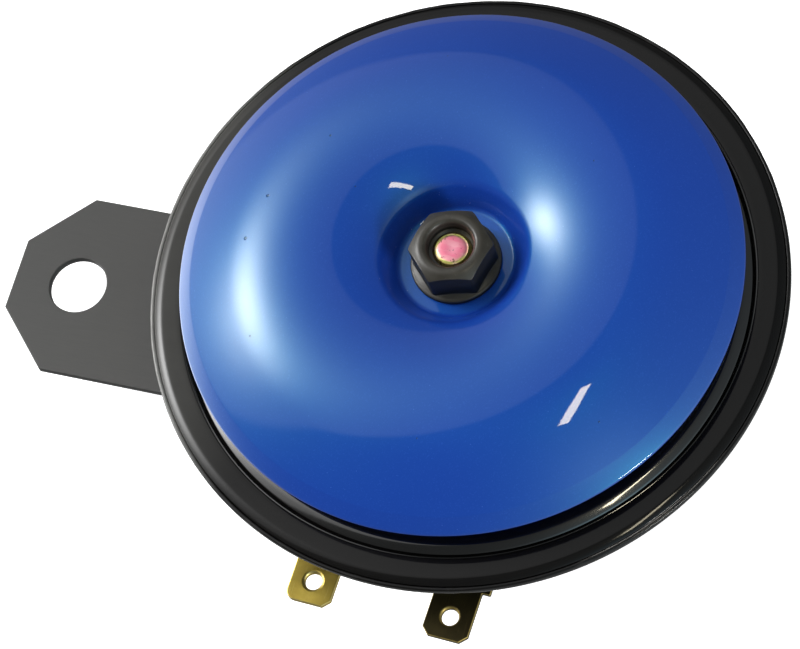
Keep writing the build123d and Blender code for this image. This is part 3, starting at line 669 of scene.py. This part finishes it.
# ------------------------------------------------------------------ tone disc
HUB_Z, CREST_R, CREST_Z, DISC_T = 6.2, 20.1, 12.2, 0.9
WALL_A, IN_A, OUT_A1, OUT_A2, BEV_A1, BEV_A2, LIP_A = 57.0, 28.7, 25.3, 31.6, 39.42, 43.42, 85.0
wall_len = ((CREST_Z - HUB_Z) - 1.0 * (1 - math.cos(rad(WALL_A))) - 3.0 * (math.cos(rad(IN_A)) - math.cos(rad(WALL_A)))
            - 20.0 * (1 - math.cos(rad(IN_A)))) / math.sin(rad(WALL_A))
hub_flat = CREST_R - 20.0 * math.sin(rad(IN_A)) - 3.0 * (math.sin(rad(WALL_A)) - math.sin(rad(IN_A))) \
    - wall_len * math.cos(rad(WALL_A)) - 1.0 * math.sin(rad(WALL_A))
disc_steps = [("L", hub_flat - 3.1), ("A", 1.0, WALL_A), ("L", wall_len), ("A", 3.0, IN_A - WALL_A), ("A", 20.0, -IN_A),
              ("A", 22.0, -OUT_A1), ("A", 61.0, OUT_A1 - OUT_A2), ("A", 1.2, OUT_A2 - BEV_A1), ("A", 30.48, BEV_A1 - BEV_A2),
              ("A", 0.6, BEV_A2 - LIP_A)]


def sheet_outline(start, heading, steps, t, r_edge=0.22, fine=1.6, ds=0.6, under=None):
    """Both faces of a sheet and its rounded ends, as one closed outline."""
    a = pen(start, heading, steps, 0.0, fine, ds)
    b = pen(start, heading, under or steps, t, fine, ds)
    loop = [(p[0], p[1], 0) for p in a] + [(p[0], p[1], 0) for p in reversed(b)]
    n = len(a)
    for i in (0, n - 1, n, len(loop) - 1):
        loop[i] = (loop[i][0], loop[i][1], r_edge)
    return rounded(loop, 5)


disc = turn_mesh("tone_disc_skin", sheet_outline((3.1, HUB_Z), 0, disc_steps, DISC_T, 0.12, under=disc_steps[:-2] + [("A", 30.48, BEV_A1 - 42.72)]), seg=360)
put(disc, "tone_disc")

# ------------------------------------------------------------------ diaphragm
B = 46.0
bead_out = 36.1 + 2.5 * math.sin(rad(B))
fil_out = bead_out + 0.6 * math.sin(rad(B))
B_IN, FLANK = 43.13, 12.0
bead_in = 36.1 - 2.5 * math.sin(rad(B_IN))
cone_out = bead_in - 1.2 * (math.sin(rad(B_IN)) + math.sin(rad(3.9)))
cone_in = 9.7 + 20.0 * math.sin(rad(3.9))
dia_steps = [("L", 41.3 - fil_out), ("A", 0.6, -B), ("A", 1.0, B - 24.5), ("A", FLANK, 3.0), ("A", 2.5, 21.5 + B_IN), ("A", 1.2, -B_IN - 3.9),
             ("L", (cone_out - cone_in) / math.cos(rad(3.9))), ("A", 20.0, 3.9), ("L", 9.7 - 3.05)]
dia = turn_mesh("diaphragm_skin", sheet_outline((41.3, -0.8), 180, dia_steps, -0.35, 0.06, 2.5), seg=288)
put(dia, "diaphragm", GLOSS)
DIA_C = pen((41.3, -0.8), 180, dia_steps)[-1][1]
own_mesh(dia)

# ------------------------------------------------------------------ clamp ring
ring_steps = [("L", 40.75 - 38.55), ("A", 1.6, -16.0), ("A", 4.075, -12.0), ("A", 0.20, -62.0)]
ring_top = pen((38.55, 0.0), 0, ring_steps, 0.0, 4, 0.25)
ring_prof = rounded([(38.4, -0.8, 0.08), (38.4, 0.0, 0.16)] + [(p[0], p[1], 0) for p in ring_top[1:]] + [(ring_top[-1][0], -0.8, 0.0)], 6)
ring = turn_mesh("clamp_ring_skin", ring_prof, seg=384)
put(ring, "clamp_ring")

# ------------------------------------------------------------------ housing
DR = 88.0
up_dz = (-2.35 + 12.6) - 1.0 * (1 - math.cos(rad(DR))) - 2.0 * (1 - math.cos(rad(DR)))
up_len = up_dz / math.sin(rad(DR))
r_after = 36.4 - up_len * math.cos(rad(DR)) - 2.0 * math.sin(rad(DR))
lo_dz = (-12.6 + 27.75) - 1.2 * (1 - math.cos(rad(DR))) - 2.5 * (1 - math.cos(rad(DR)))
lo_len = lo_dz / math.sin(rad(DR))
r_back = 24.6 - lo_len * math.cos(rad(DR)) - 2.5 * math.sin(rad(DR))
h_steps = [("A", 1.3, -90.0), ("L", 41.4 - (36.4 + 1.0 * math.sin(rad(DR)))), ("A", 1.0, DR), ("L", up_len), ("A", 2.0, -DR),
           ("L", r_after - (24.6 + 1.2 * math.sin(rad(DR)))), ("A", 1.2, DR), ("L", lo_len), ("A", 2.5, -DR), ("L", r_back - 4.1)]
h_out = pen((42.7, -1.05), -90, h_steps, 0.0, 5, 1.2)
h_in = pen((42.7, -1.05), -90, h_steps, 0.8, 5, 1.2)
lip = rounded([(42.12, -0.85, 0), (42.12, -0.40, 0.20), (42.7, -0.40, 0.30), (42.7, -0.98, 0)], 6)
h_prof = h_out + list(reversed(h_in)) + lip
lip_at = len(h_out) + len(h_in)


def rim_point(i, r, z, a):
    """The lip's cut edge is a little uneven."""
    if lip_at < i < len(h_prof) - 1:
        w = 0.012 * math.sin(23 * a + 1.1) + 0.010 * math.sin(57 * a + 0.4) + 0.007 * math.sin(131 * a + 2.0)
        return r + (w if r > 42.4 else 0.0) - (0.02 if r > 42.69 else 0.0), z + 0.8 * w - 0.02
    return r, z


housing = turn_mesh("housing_skin", h_prof, seg=384, radial=rim_point)


def drill(ob, holes):
    """Cut round holes along Z: (x, y, r, z0, z1) in mm in the horn's frame."""
    bm = bmesh.new()
    for (x, y, r, z0, z1) in holes:
        n = 48
        lo = [bm.verts.new(((AX + x + r * math.cos(2 * math.pi * k / n)) * MM, (y + r * math.sin(2 * math.pi * k / n)) * MM, (ZO + z0) * MM)) for k in range(n)]
        hi = [bm.verts.new((v.co.x, v.co.y, (ZO + z1) * MM)) for v in lo]
        for k in range(n):
            bm.faces.new((lo[k], lo[(k + 1) % n], hi[(k + 1) % n], hi[k]))
        bm.faces.new(list(reversed(lo)))
        bm.faces.new(hi)
    bmesh.ops.recalc_face_normals(bm, faces=bm.faces)
    me = bpy.data.meshes.new("cutter")
    bm.to_mesh(me)
    bm.free()
    cut = link(me, "cutter")
    mod = ob.modifiers.new("holes", "BOOLEAN")
    mod.object = cut
    mod.operation = "DIFFERENCE"
    mod.solver = "EXACT"
    dg = bpy.context.evaluated_depsgraph_get()
    new = bpy.data.meshes.new_from_object(ob.evaluated_get(dg))
    ob.modifiers.clear()
    ob.data = new
    bpy.data.objects.remove(cut)
    ob.data.shade_smooth()
    ob.data.set_sharp_from_angle(angle=rad(38))


td = (math.cos(rad(-92.5)), math.sin(rad(-92.5)))
tp = (-td[1], td[0])


def on_t(lat, along):
    return (tp[0] * lat + td[0] * along, tp[1] * lat + td[1] * along)


T_LAT = (-10.35, 8.85)
t_riv = [on_t(lat, 28.3) for lat in T_LAT]
sd = (math.cos(rad(62)), math.sin(rad(62)))
b_riv = [(29.6 * sd[0] - s * 5.2 * sd[1], 29.6 * sd[1] + s * 5.2 * sd[0]) for s in (1, -1)]
screw_at = (27.2 * sd[0] - 12.2 * sd[1], 27.2 * sd[1] + 12.2 * sd[0])
drill(housing, [(x, y, 2.35, -13.6, -10.8) for x, y in t_riv] + [(x, y, 1.55, -13.6, -10.8) for x, y in b_riv] + [(screw_at[0], screw_at[1], 2.6, -13.6, -10.8)])
put(housing, "housing")

# ------------------------------------------------------------------ flange nut
NUT_TOP, AP, CHAM, ROT = 11.9, 4.9, 4.3, 14.6
T30 = math.tan(rad(30))


def crown(r):
    """Height of the nut's top: flat in the middle, rounding over to a thirty-degree chamfer."""
    d = max(0.0, r - 3.86)
    bend = 0.70
    return NUT_TOP - (T30 * d * d / (2 * bend) if d < bend else T30 * (d - bend / 2)) - 0.30 * max(0.0, r - 5.0) ** 2


def nut_profile():
    z0 = HUB_Z
    prof = []
    # up the outside: (kind, value, z); kind says how the radius is read
    prof += [("r", 3.02, z0), ("r", 3.25, z0 - 0.0), ("r", 5.82, z0), ("r", 5.93, z0 + 0.03), ("r", 5.98, z0 + 0.08), ("r", 6.0, z0 + 0.16)]
    prof += [("r", 6.0, z0 + 0.50), ("r", 5.985, z0 + 0.58), ("r", 5.94, z0 + 0.65), ("r", 5.86, z0 + 0.71), ("r", 5.74, z0 + 0.755), ("r", 5.62, z0 + 0.79)]
    for k in range(8):
        prof.append(("cone", k / 7.0, 0))
    for k in range(5):
        prof.append(("foot", k / 4.0, 0))
    for k in range(5):
        prof.append(("face", (k + 1) / 6.0, 0))
    for k in range(5):
        prof.append(("brow", k / 4.0, 0))
    for k in range(6):
        prof.append(("cham", k / 5.0, 0))
    for k in range(1, 9):
        r = CHAM - (CHAM - 3.72) * k / 8
        prof.append(("r", r, crown(r)))
    for k in range(1, 9):
        a = rad(78 * k / 8)
        prof.append(("r", 3.72 - 0.62 * math.sin(a), NUT_TOP - 0.62 * (1 - math.cos(a))))
    prof.append(("r", 3.03, NUT_TOP - 0.75))
    zt = NUT_TOP - 0.95
    n = int((zt - z0) / 0.055)
    for k in range(n + 1):
        prof.append(("thr", 0, zt - (zt - z0) * k / n))
    return prof


NP = nut_profile()


def nut_point(i, r, z, a):
    kind, v, zz = NP[i]
    hr = hex_r(AP, ROT, a)
    zc_foot = HUB_Z + 0.79 + (5.62 - hr) * 0.42
    z_top = crown(hr)
    if kind == "r":
        return v, zz
    if kind == "cone":
        rr = 5.62 + (hr + 0.16 - 5.62) * v
        rr = min(5.62, rr)
        return rr, HUB_Z + 0.79 + (5.62 - rr) * 0.42
    if kind == "foot":
        t = rad(90 * v)
        return hr + 0.16 * (1 - math.sin(t)), zc_foot - 0.16 * 0.42 + 0.16 * (1 - math.cos(t)) * 1.0 + 0.0
    if kind == "face":
        return hr, zc_foot + 0.10 + (z_top - 0.08 - zc_foot - 0.10) * v
    if kind == "brow":
        t = v
        d = 0.10
        return hr - d * 0.86 * t * t, z_top - d * (1 - t) ** 2 + 0.0 - d * 0.0 * t - (0 if t < 1 else 0) + 0.86 * d * T30 * t * t
    if kind == "cham":
        rr = (hr - 0.086) + (CHAM - (hr - 0.086)) * v
        return rr, crown(rr)
    if kind == "thr":
        rt = thread(zz, a, 1.0, 3.0, 2.52)
        if zz > 10.15:
            rt = 2.98
        d = (NUT_TOP - 0.95) - zz
        if d < 0.3:
            rt = max(rt, 3.02 - d * 0.9)
        e = zz - HUB_Z
        if e < 0.4:
            rt = max(rt, 3.02 - e * 0.7)
        return rt, zz
    return r, z


nut = turn_mesh("flange_nut", [(1.0, 0.0)] * len(NP), seg=360, radial=nut_point, sharp=42)
put(nut, "tone_disc_nut")

# ------------------------------------------------------------------ armature with its stud
arm_prof = rounded([(0, -10.6, 0), (7.0, -10.6, 0.4), (7.0, -8.0, 0.1), (11.0, -8.0, 0.15), (11.0, -6.8, 0.15), (8.0, -6.8, 0.15), (8.0, DIA_C - 0.35, 0.15), (3.2, DIA_C - 0.35, 0)], 4)
TZ0, TZ1 = DIA_C - 0.35, 10.3
n_t = int((TZ1 - TZ0) / 0.06)
thr_z = [TZ0 + (TZ1 - TZ0) * k / n_t for k in range(1, n_t + 1)]
arm_all = arm_prof + [(2.9, z) for z in thr_z] + [(2.06, TZ1 - 0.02), (1.90, TZ1 + 0.04), (1.70, TZ1 + 0.075), (1.4, TZ1 + 0.10), (0.9, TZ1 + 0.115), (0.45, TZ1 + 0.10), (0, TZ1 + 0.09)]
n0 = len(arm_prof)


def stud_point(i, r, z, a):
    if n0 <= i < n0 + len(thr_z):
        rt = thread(z, a, 1.0, 2.95, 2.46)
        d = TZ1 - z
        rt = min(rt, 2.18 + d * 0.85)
        return rt, z
    return r, z


arma = turn_mesh("armature_body", arm_all, seg=144, radial=stud_point, sharp=42)
put(arma, "armature")

# ------------------------------------------------------------------ washer and spacer on the stud
put(turn_mesh("diaphragm_washer_ring", rounded([(3.05, DIA_C, 0.1), (9.0, DIA_C, 0.1), (9.0, DIA_C + 1.2, 0.35), (3.05, DIA_C + 1.2, 0.1)], 5), seg=128), "diaphragm_washer")
put(turn_mesh("disc_spacer_bush", rounded([(3.05, DIA_C + 1.2, 0.15), (5.5, DIA_C + 1.2, 0.2), (5.5, HUB_Z - DISC_T, 0.2), (3.05, HUB_Z - DISC_T, 0.15)], 5), seg=128), "disc_spacer")


# ------------------------------------------------------------------ bracket
def bracket_outline():
    pts = [(0, 13.7, 0), (-65.2, 13.7, 0.25), (-73.35, 5.4, 0.25), (-73.35, -5.4, 0.25), (-65.2, -13.7, 0.25), (0, -13.7, 0)]
    arc = [(13.7 * math.sin(rad(a)), -13.7 * math.cos(rad(a))) for a in range(3, 178, 3)]
    return rounded(pts + [(x, y, 0) for x, y in arc], 5)


br = plate_mesh("bracket_strip", bracket_outline(), [circle(4.25, 96, -63.6, 0), circle(4.15, 96)], -28.95, -27.75, 0.14,
                xf=lambda x, y, z: (x + AX, y, z))
put(br, "bracket")

# ------------------------------------------------------------------ terminals


def blade_loop(lat, left):
    hw, hb = 3.15, 4.25
    pts = [(lat - hb, 24.9, 0.6), (lat + hb, 24.9, 0.6), (lat + hb, 36.6, 0.15), (lat + hw, 36.6, 0.15),
           (lat + hw, 42.8, 0.12), (lat + hw - 1.0, 43.8, 0.12)]
    pts += [(lat - hw, 43.8, 1.3)] if left else [(lat - hw + 1.0, 43.8, 0.12), (lat - hw, 42.8, 0.12)]
    pts += [(lat - hw, 36.6, 0.15), (lat - hb, 36.6, 0.15)]
    return [on_t(*p) for p in rounded(pts, 6)]


for lat, left, node in ((T_LAT[0], True, "terminal_left"), (T_LAT[1], False, "terminal_right")):
    hx, hy = on_t(lat, 40.7)
    rx, ry = on_t(lat, 28.3)
    b = plate_mesh(node + "_blade", blade_loop(lat, left), [circle(1.15, 64, hx, hy), circle(1.5, 48, rx, ry)], -14.3, -13.5, 0.15,
                   hole_top=(0.42, 0.34), hole_bottom=(0.1, 0.1), xf=lambda x, y, z: (x + AX, y, z))
    put(b, node, M["brass_blade"] if left else DARKENED_BRASS)

# ------------------------------------------------------------------ rivets, screw and nuts behind
def merge(name, parts, sharp=38.0):
    """One object from several, joined in mesh code."""
    bm = bmesh.new()
    for ob in parts:
        bm.from_mesh(ob.data)
        me = ob.data
        bpy.data.objects.remove(ob)
        bpy.data.meshes.remove(me)
    return finish_mesh(bm, name, sharp)


def rivet(x, y, head_z, depth, shank_r, tail_z, tail_r, tail_t):
    prof = [(0, head_z - depth), (0.55, head_z - depth - 0.0), (1.0, head_z - depth + 0.02)]
    for k in range(1, 9):
        t = rad(90 * k / 8)
        prof.append((1.0 + 1.7 * math.sin(t) ** 0.9, head_z - depth + (depth - 0.22) * (1 - math.cos(t)) ** 1.15 + 0.02 * (1 - k / 8)))
    prof += [(2.7, head_z - 0.06), (2.64, head_z), (shank_r, head_z), (shank_r, tail_z)]
    prof += [(tail_r - 0.12, tail_z), (tail_r, tail_z + 0.12), (tail_r, tail_z + tail_t - 0.25), (tail_r - 0.1, tail_z + tail_t - 0.08), (tail_r - 0.3, tail_z + tail_t)]
    prof += [(shank_r * 0.7, tail_z + tail_t), (shank_r * 0.6, tail_z + tail_t - 0.18), (0, tail_z + tail_t - 0.22)]
    return turn_mesh("r", prof, seg=64, cx=AX + x, cy=y)


put(merge("terminal_rivet_pair", [rivet(x, y, -14.3, 1.3, 1.5, -10.8, 2.5, 0.8) for x, y in t_riv]), "terminal_rivets")
put(merge("breaker_rivet_pair", [rivet(x, y, -12.6, 1.4, 1.5, -7.05, 2.6, 0.8) for x, y in b_riv]), "breaker_rivets")


def hex_nut(name, af, rot, z0, z1, bore, pitch, cx=AX, cy=0.0, seg=192, depth=0.0):
    """A hexagon nut with both ends turned and a threaded bore."""
    ap, cham = af / 2, af * 0.475
    depth = depth or pitch * 0.54
    kinds = [("bore0", 0)]
    kinds += [("flat0", k / 2) for k in range(3)] + [("cham0", k / 4) for k in range(1, 5)] + [("face", (k + 1) / 9) for k in range(8)]
    kinds += [("cham1", k / 4) for k in range(0, 4)] + [("flat1", k / 2) for k in range(3)] + [("bore1", 0)]
    nt = max(8, int((z1 - z0 - 0.8) / (pitch / 14)))
    kinds += [("thr", 1 - (k + 0.5) / nt) for k in range(nt)]

    def point(i, r, z, a):
        kind, v = kinds[i]
        hr = hex_r(ap, rot, a, 60)
        zl, zh = z0 + (hr - cham) * T30, z1 - (hr - cham) * T30
        if kind == "flat0":
            return bore + 0.4 + (cham - bore - 0.4) * v, z0
        if kind == "cham0":
            rr = cham + (hr - 0.05 - cham) * v
            return rr, z0 + (rr - cham) * T30
        if kind == "face":
            return hr, zl + 0.07 + (zh - zl - 0.14) * v
        if kind == "cham1":
            rr = hr - 0.05 + (cham - hr + 0.05) * v
            return rr, z1 - (rr - cham) * T30
        if kind == "flat1":
            return cham + (bore + 0.4 - cham) * v, z1
        if kind == "bore0":
            return bore + 0.02, z0 + 0.38
        if kind == "bore1":
            return bore + 0.02, z1 - 0.38
        zz = z0 + 0.4 + (z1 - z0 - 0.8) * v
        return thread(zz, a, pitch, bore, bore - depth), zz

    return turn_mesh(name, [(1.0, 0.0)] * len(kinds), seg=seg, cx=cx, cy=cy, radial=point, sharp=34)


put(hex_nut("rear_hex_nut", 13.0, 22, -37.35, -30.95, 4.05, 1.25, seg=240), "rear_nut")
put(hex_nut("small_lock_nut", 7.0, 10, -14.8, -12.6, 2.05, 0.7, AX + screw_at[0], screw_at[1], 144), "lock_nut")

# the core, with its threaded shank through the housing's back
nz = int((38.8 - 27.2) / 0.085)
core_prof = [(0, -38.8)] + [(1.6, -38.8), (3.15, -38.8), (3.3, -38.78)]
core_n = len(core_prof)
core_prof += [(3.9, -38.8 + 11.6 * (k + 1) / nz) for k in range(nz)]
core_prof += [(4.0, -26.95), (7.0, -26.95), (7.0, -11.7), (6.9, -11.45), (6.6, -11.3), (0, -11.3)]


def core_point(i, r, z, a):
    if core_n <= i < core_n + nz:
        return min(thread(z, a, 1.25, 4.0, 3.34), 3.32 + (z + 38.8) * 0.95), z
    return r, z


put(turn_mesh("core_and_shank", core_prof, seg=160, radial=core_point, sharp=42), "pole_core")

# the adjusting screw: slotted round head and threaded shank
sx, sy = screw_at
ns = int((18.2 - 8.3) / 0.05)
s_prof = [(0, -20.6), (2.9, -20.6), (3.2, -20.55), (3.42, -20.40), (3.5, -20.2), (3.5, -18.42), (3.44, -18.33), (3.3, -18.3), (2.1, -18.3)]
s_n = len(s_prof)
s_prof += [(1.9, -18.2 + 9.9 * k / ns) for k in range(ns)] + [(1.55, -7.9), (1.4, -7.85), (0, -7.85)]


def screw_point(i, r, z, a):
    if s_n <= i < s_n + ns:
        return min(thread(z, a, 0.7, 2.0, 1.62), 1.55 + (-7.9 - z) * 1.1), z
    return r, z


def cutter_box(x0, x1, y0, y1, z0, z1, turn, cx, cy):
    bm = bmesh.new()
    c, s_ = math.cos(rad(turn)), math.sin(rad(turn))
    vs = [bm.verts.new(((cx + x * c - y * s_) * MM, (cy + x * s_ + y * c) * MM, (ZO + z) * MM)) for z in (z0, z1) for x, y in ((x0, y0), (x1, y0), (x1, y1), (x0, y1))]
    for f in ((3, 2, 1, 0), (4, 5, 6, 7), (0, 1, 5, 4), (1, 2, 6, 5), (2, 3, 7, 6), (3, 0, 4, 7)):
        bm.faces.new([vs[i] for i in f])
    me = bpy.data.meshes.new("cutter")
    bm.to_mesh(me)
    bm.free()
    return link(me, "cutter")


def cut_away(ob, cut, sharp=38.0):
    mod = ob.modifiers.new("cut", "BOOLEAN")
    mod.object = cut
    mod.operation = "DIFFERENCE"
    mod.solver = "EXACT"
    dg = bpy.context.evaluated_depsgraph_get()
    new = bpy.data.meshes.new_from_object(ob.evaluated_get(dg))
    ob.modifiers.clear()
    ob.data = new
    bpy.data.objects.remove(cut)
    new.shade_smooth()
    new.set_sharp_from_angle(angle=rad(sharp))
    return ob


head = turn_mesh("slotted_screw", s_prof, seg=128, cx=AX + sx, cy=sy, radial=screw_point, sharp=42)
put(cut_away(head, cutter_box(-4, 4, -0.45, 0.45, -21, -19.5, 25, AX + sx, sy)), "adjusting_screw")


# the spring washer: one open turn of square bar, cut on a slant
def split_washer():
    z0, z1, r0, r1 = -30.95, -28.95, 4.15, 7.2
    sec = rounded([(r0, z0, 0.12), (r1, z0, 0.18), (r1, z1, 0.18), (r0, z1, 0.12)], 4)
    bm = bmesh.new()
    n = 140
    rings = []
    zm = (z0 + z1) / 2
    for k in range(n + 1):
        ring = []
        for (r, z) in sec:
            # half the slit is 0.5 mm over the slant, leaning with height
            lean = ((z - zm) * math.tan(rad(35))) / r
            gap = 0.61 / r
            a = rad(205) + gap - lean + (2 * math.pi - 2 * gap) * k / n
            ring.append(bm.verts.new(((AX + r * math.cos(a)) * MM, r * math.sin(a) * MM, (ZO + z) * MM)))
        rings.append(ring)
    m = len(sec)
    for a, b in zip(rings, rings[1:]):
        for i in range(m):
            bm.faces.new((a[i], a[(i + 1) % m], b[(i + 1) % m], b[i]))
    bm.faces.new(rings[0])
    bm.faces.new(list(reversed(rings[-1])))
    return finish_mesh(bm, "split_washer", 38)


put(split_washer(), "spring_washer")

# the insulating plate under the terminals
pl_pts = [(-15.4, 24.6, 0.3)] + [(26.2 * math.sin(rad(a)), 26.2 * math.cos(rad(a)), 0) for a in [-20.13 + 40.26 * k / 16 for k in range(17)]]
pl_pts += [(13.4, 24.6, 0.3), (13.4, 33.2, 0.4), (12.4, 34.0, 0.4), (-14.6, 34.0, 0.4), (-15.4, 33.2, 0.4)]
plate_loop = [on_t(*p[:2]) for p in rounded(pl_pts, 4)]
put(plate_mesh("terminal_board", plate_loop, [circle(2.35, 48, x, y) for x, y in t_riv], -13.5, -12.6, 0.08, xf=lambda x, y, z: (x + AX, y, z)), "terminal_plate")


# ------------------------------------------------------------------ floor and backdrop
def staging():
    """A plain white floor that sweeps up into a backdrop. Only the camera sees it."""
    m = Mat("white_paper")
    n = m.noise(3, 2, 0.5)
    m.color(m.mix(n, (0.80, 0.80, 0.80), (0.82, 0.82, 0.82)))
    m.rough(0.9)
    m.set(Specular_IOR_Level=0.0, Emission_Color=(1, 1, 1, 1), Emission_Strength=0.86)
    bm = bmesh.new()
    prof = [(0.0, 0.0), (0.15, 0.0), (0.4, 0.0), (1.2, 0.0), (2.2, 0.0)]
    prof += [(2.2 + 0.8 * math.sin(rad(a)), 0.8 - 0.8 * math.cos(rad(a))) for a in range(10, 91, 10)]
    prof += [(3.0, 2.0)] + [(3.0 * math.cos(rad(a)), 2.0 + 3.0 * math.sin(rad(a))) for a in range(10, 90, 10)] + [(0.0, 5.0)]
    seg, prev = 64, None
    for r, z in prof:
        if r == 0:
            ring = [bm.verts.new((AX * MM, 0, FLOOR_Z + z))]
        else:
            ring = [bm.verts.new((AX * MM + r * math.cos(2 * math.pi * k / seg), r * math.sin(2 * math.pi * k / seg), FLOOR_Z + z)) for k in range(seg)]
        if prev:
            for k in range(seg):
                q = [prev[k % len(prev)], prev[(k + 1) % len(prev)], ring[(k + 1) % len(ring)], ring[k % len(ring)]]
                q = list(dict.fromkeys(q))
                bm.faces.new(q)
        prev = ring
    me = bpy.data.meshes.new("floor")
    bm.to_mesh(me)
    bm.free()
    me.shade_smooth()
    me.materials.append(m.m)
    fl = link(me, "floor")
    fl.visible_diffuse = fl.visible_glossy = fl.visible_transmission = fl.visible_shadow = False


FLOOR_Z = (ZO - 38.8) * MM - 0.0005
staging()


# ------------------------------------------------------------------ light
def strip_lamp(name, direction, dist, width, height, power, lean=0.0, color=(1, 1, 1), target=(AX * MM, 0, (ZO + 5) * MM)):
    """A rectangular lamp facing the horn; lean turns its long side from upright, in degrees."""
    L = bpy.data.lights.new(name, "AREA")
    L.energy = power
    L.color = color
    L.shape = "RECTANGLE"
    L.size, L.size_y = width, height
    ob = bpy.data.objects.new(name, L)
    d = Vector(direction).normalized()
    e1 = Vector((0, 0, 1)).cross(d).normalized()
    e2 = d.cross(e1)
    t = rad(lean)
    x = e1 * math.cos(t) + e2 * math.sin(t)
    y = d.cross(x)
    m = Matrix((x, y, d)).transposed().to_4x4()
    m.translation = Vector(target) + d * dist
    ob.matrix_world = m
    ob.visible_camera = False
    scene.collection.objects.link(ob)
    return ob


def room(lobes, base, panels=()):
    """Soft light from all round: a plain level, rounded patches, and round panels with a defined edge.
    A lobe is (azimuth, elevation, sharpness, colour). A panel is (azimuth, elevation, radius, edge, colour,
    fade), and fades away from the direction given by its last three numbers."""
    w = bpy.data.worlds.new("room")
    bpy.context.scene.world = w
    w.use_nodes = True
    t = w.node_tree
    bg = t.nodes["Background"]
    co = t.nodes.new("ShaderNodeTexCoord").outputs["Generated"]
    nrm = t.nodes.new("ShaderNodeVectorMath")
    nrm.operation = "NORMALIZE"
    t.links.new(co, nrm.inputs[0])
    total = None

    def op(kind, a, b=None):
        n = t.nodes.new("ShaderNodeMath")
        n.operation = kind
        for sock, v in ((n.inputs[0], a), (n.inputs[1], b)):
            if v is None:
                continue
            if isinstance(v, (int, float)):
                sock.default_value = v
            else:
                t.links.new(v, sock)
        return n.outputs[0]

    def towards(az, el):
        d = t.nodes.new("ShaderNodeVectorMath")
        d.operation = "DOT_PRODUCT"
        t.links.new(nrm.outputs[0], d.inputs[0])
        d.inputs[1].default_value = (math.cos(rad(el)) * math.cos(rad(az)), math.cos(rad(el)) * math.sin(rad(az)), math.sin(rad(el)))
        return d.outputs["Value"]

    def add(total, f, col):
        v = t.nodes.new("ShaderNodeVectorMath")
        v.operation = "MULTIPLY_ADD"
        v.inputs[0].default_value = col
        cmb = t.nodes.new("ShaderNodeCombineXYZ")
        for i in range(3):
            t.links.new(f, cmb.inputs[i])
        t.links.new(cmb.outputs[0], v.inputs[1])
        if total is None:
            v.inputs[2].default_value = base
        else:
            t.links.new(total, v.inputs[2])
        return v.outputs[0]

    def lobe(az, el, k):
        return op("EXPONENT", op("MULTIPLY", op("SUBTRACT", towards(az, el), 1.0), float(k)))

    for az, el, k, col in lobes:
        total = add(total, lobe(az, el, k), col)
    for az, el, radius, edge, col, fade in panels:
        n = t.nodes.new("ShaderNodeMapRange")
        n.interpolation_type = "SMOOTHSTEP"
        t.links.new(towards(az, el), n.inputs["Value"])
        n.inputs["From Min"].default_value = math.cos(rad(radius + edge))
        n.inputs["From Max"].default_value = math.cos(rad(radius - edge))
        total = add(total, op("MULTIPLY", n.outputs["Result"], lobe(*fade)), col)
    if total is None:
        bg.inputs["Color"].default_value = (*base, 1)
    else:
        t.links.new(total, bg.inputs["Color"])
    bg.inputs["Strength"].default_value = 1.0


LOBES = [
    (174, 38, 52, (15.0,) * 3),             # the main light, low on the left
    (163, 41, 26, (2.2,) * 3),
    (172, 52, 24, (0.6,) * 3),
    (326, 43, 34, (0.6, 1.0, 1.2)),         # a cooler, weaker one on the right
    (338, -3, 4.5, (0.92, 1.02, 1.05)),     # a wide pale wall behind it
    (35, 50, 3, (0.06, 0.075, 0.09)),
    (180, -22, 12, (4.6,) * 3),             # light thrown back up from the table
    (0, -90, 1.5, (0.30,) * 3),             # the table
]
PANELS = [(150, 45, 44, 1.5, (0.60,) * 3, (180, 45, 1.5))]
room(LOBES, (0.060, 0.062, 0.060), PANELS)
strip_lamp("top_lamp", (0.345, -0.140, 0.93), 0.70, 0.036, 0.180, 0.34, -52, (1.0, 0.90, 0.66))
strip_lamp("low_lamp", (math.cos(rad(331)), math.sin(rad(331)), 0.23), 0.70, 0.14, 0.07, 1.9, 0.0, (1.0, 0.99, 0.95))

# ------------------------------------------------------------------ camera
TILT, AZ, IX, IY, DIST, FOC = 0.4593882333623674, 4.2922089644155825, 464.4952, 282.4123, 416.25, 3166.168
n = Vector((math.sin(TILT) * math.cos(AZ), math.sin(TILT) * math.sin(AZ), -math.cos(TILT)))
u = Vector((-math.sin(AZ), math.cos(AZ), 0))
v = n.cross(u)
o = Vector(((IX - 400) / FOC * DIST, (IY - 324.5) / FOC * DIST, DIST))
turn = Matrix.Rotation(rad(180 - 142.178), 3, "Z")


def to_row(c):
    """A direction in camera axes (right, down, forward) as a direction in the row frame."""
    c = Vector(c)
    return turn @ Vector((c.dot(u), c.dot(v), c.dot(n)))


cam_data = bpy.data.cameras.new("camera")
cam_data.sensor_width = 36.0
cam_data.lens = FOC * 36.0 / 800.0
cam_data.clip_start = 0.01
cam_data.clip_end = 20
cam = bpy.data.objects.new("camera", cam_data)
scene.collection.objects.link(cam)
loc = -to_row(o) * MM + Vector((AX * MM, 0, ZO * MM))
right, up, back = to_row((1, 0, 0)), to_row((0, -1, 0)), to_row((0, 0, -1))
mat = Matrix((right, up, back)).transposed().to_4x4()
mat.translation = loc
cam.matrix_world = mat
scene.camera = cam
scene.view_settings.view_transform = "Standard"
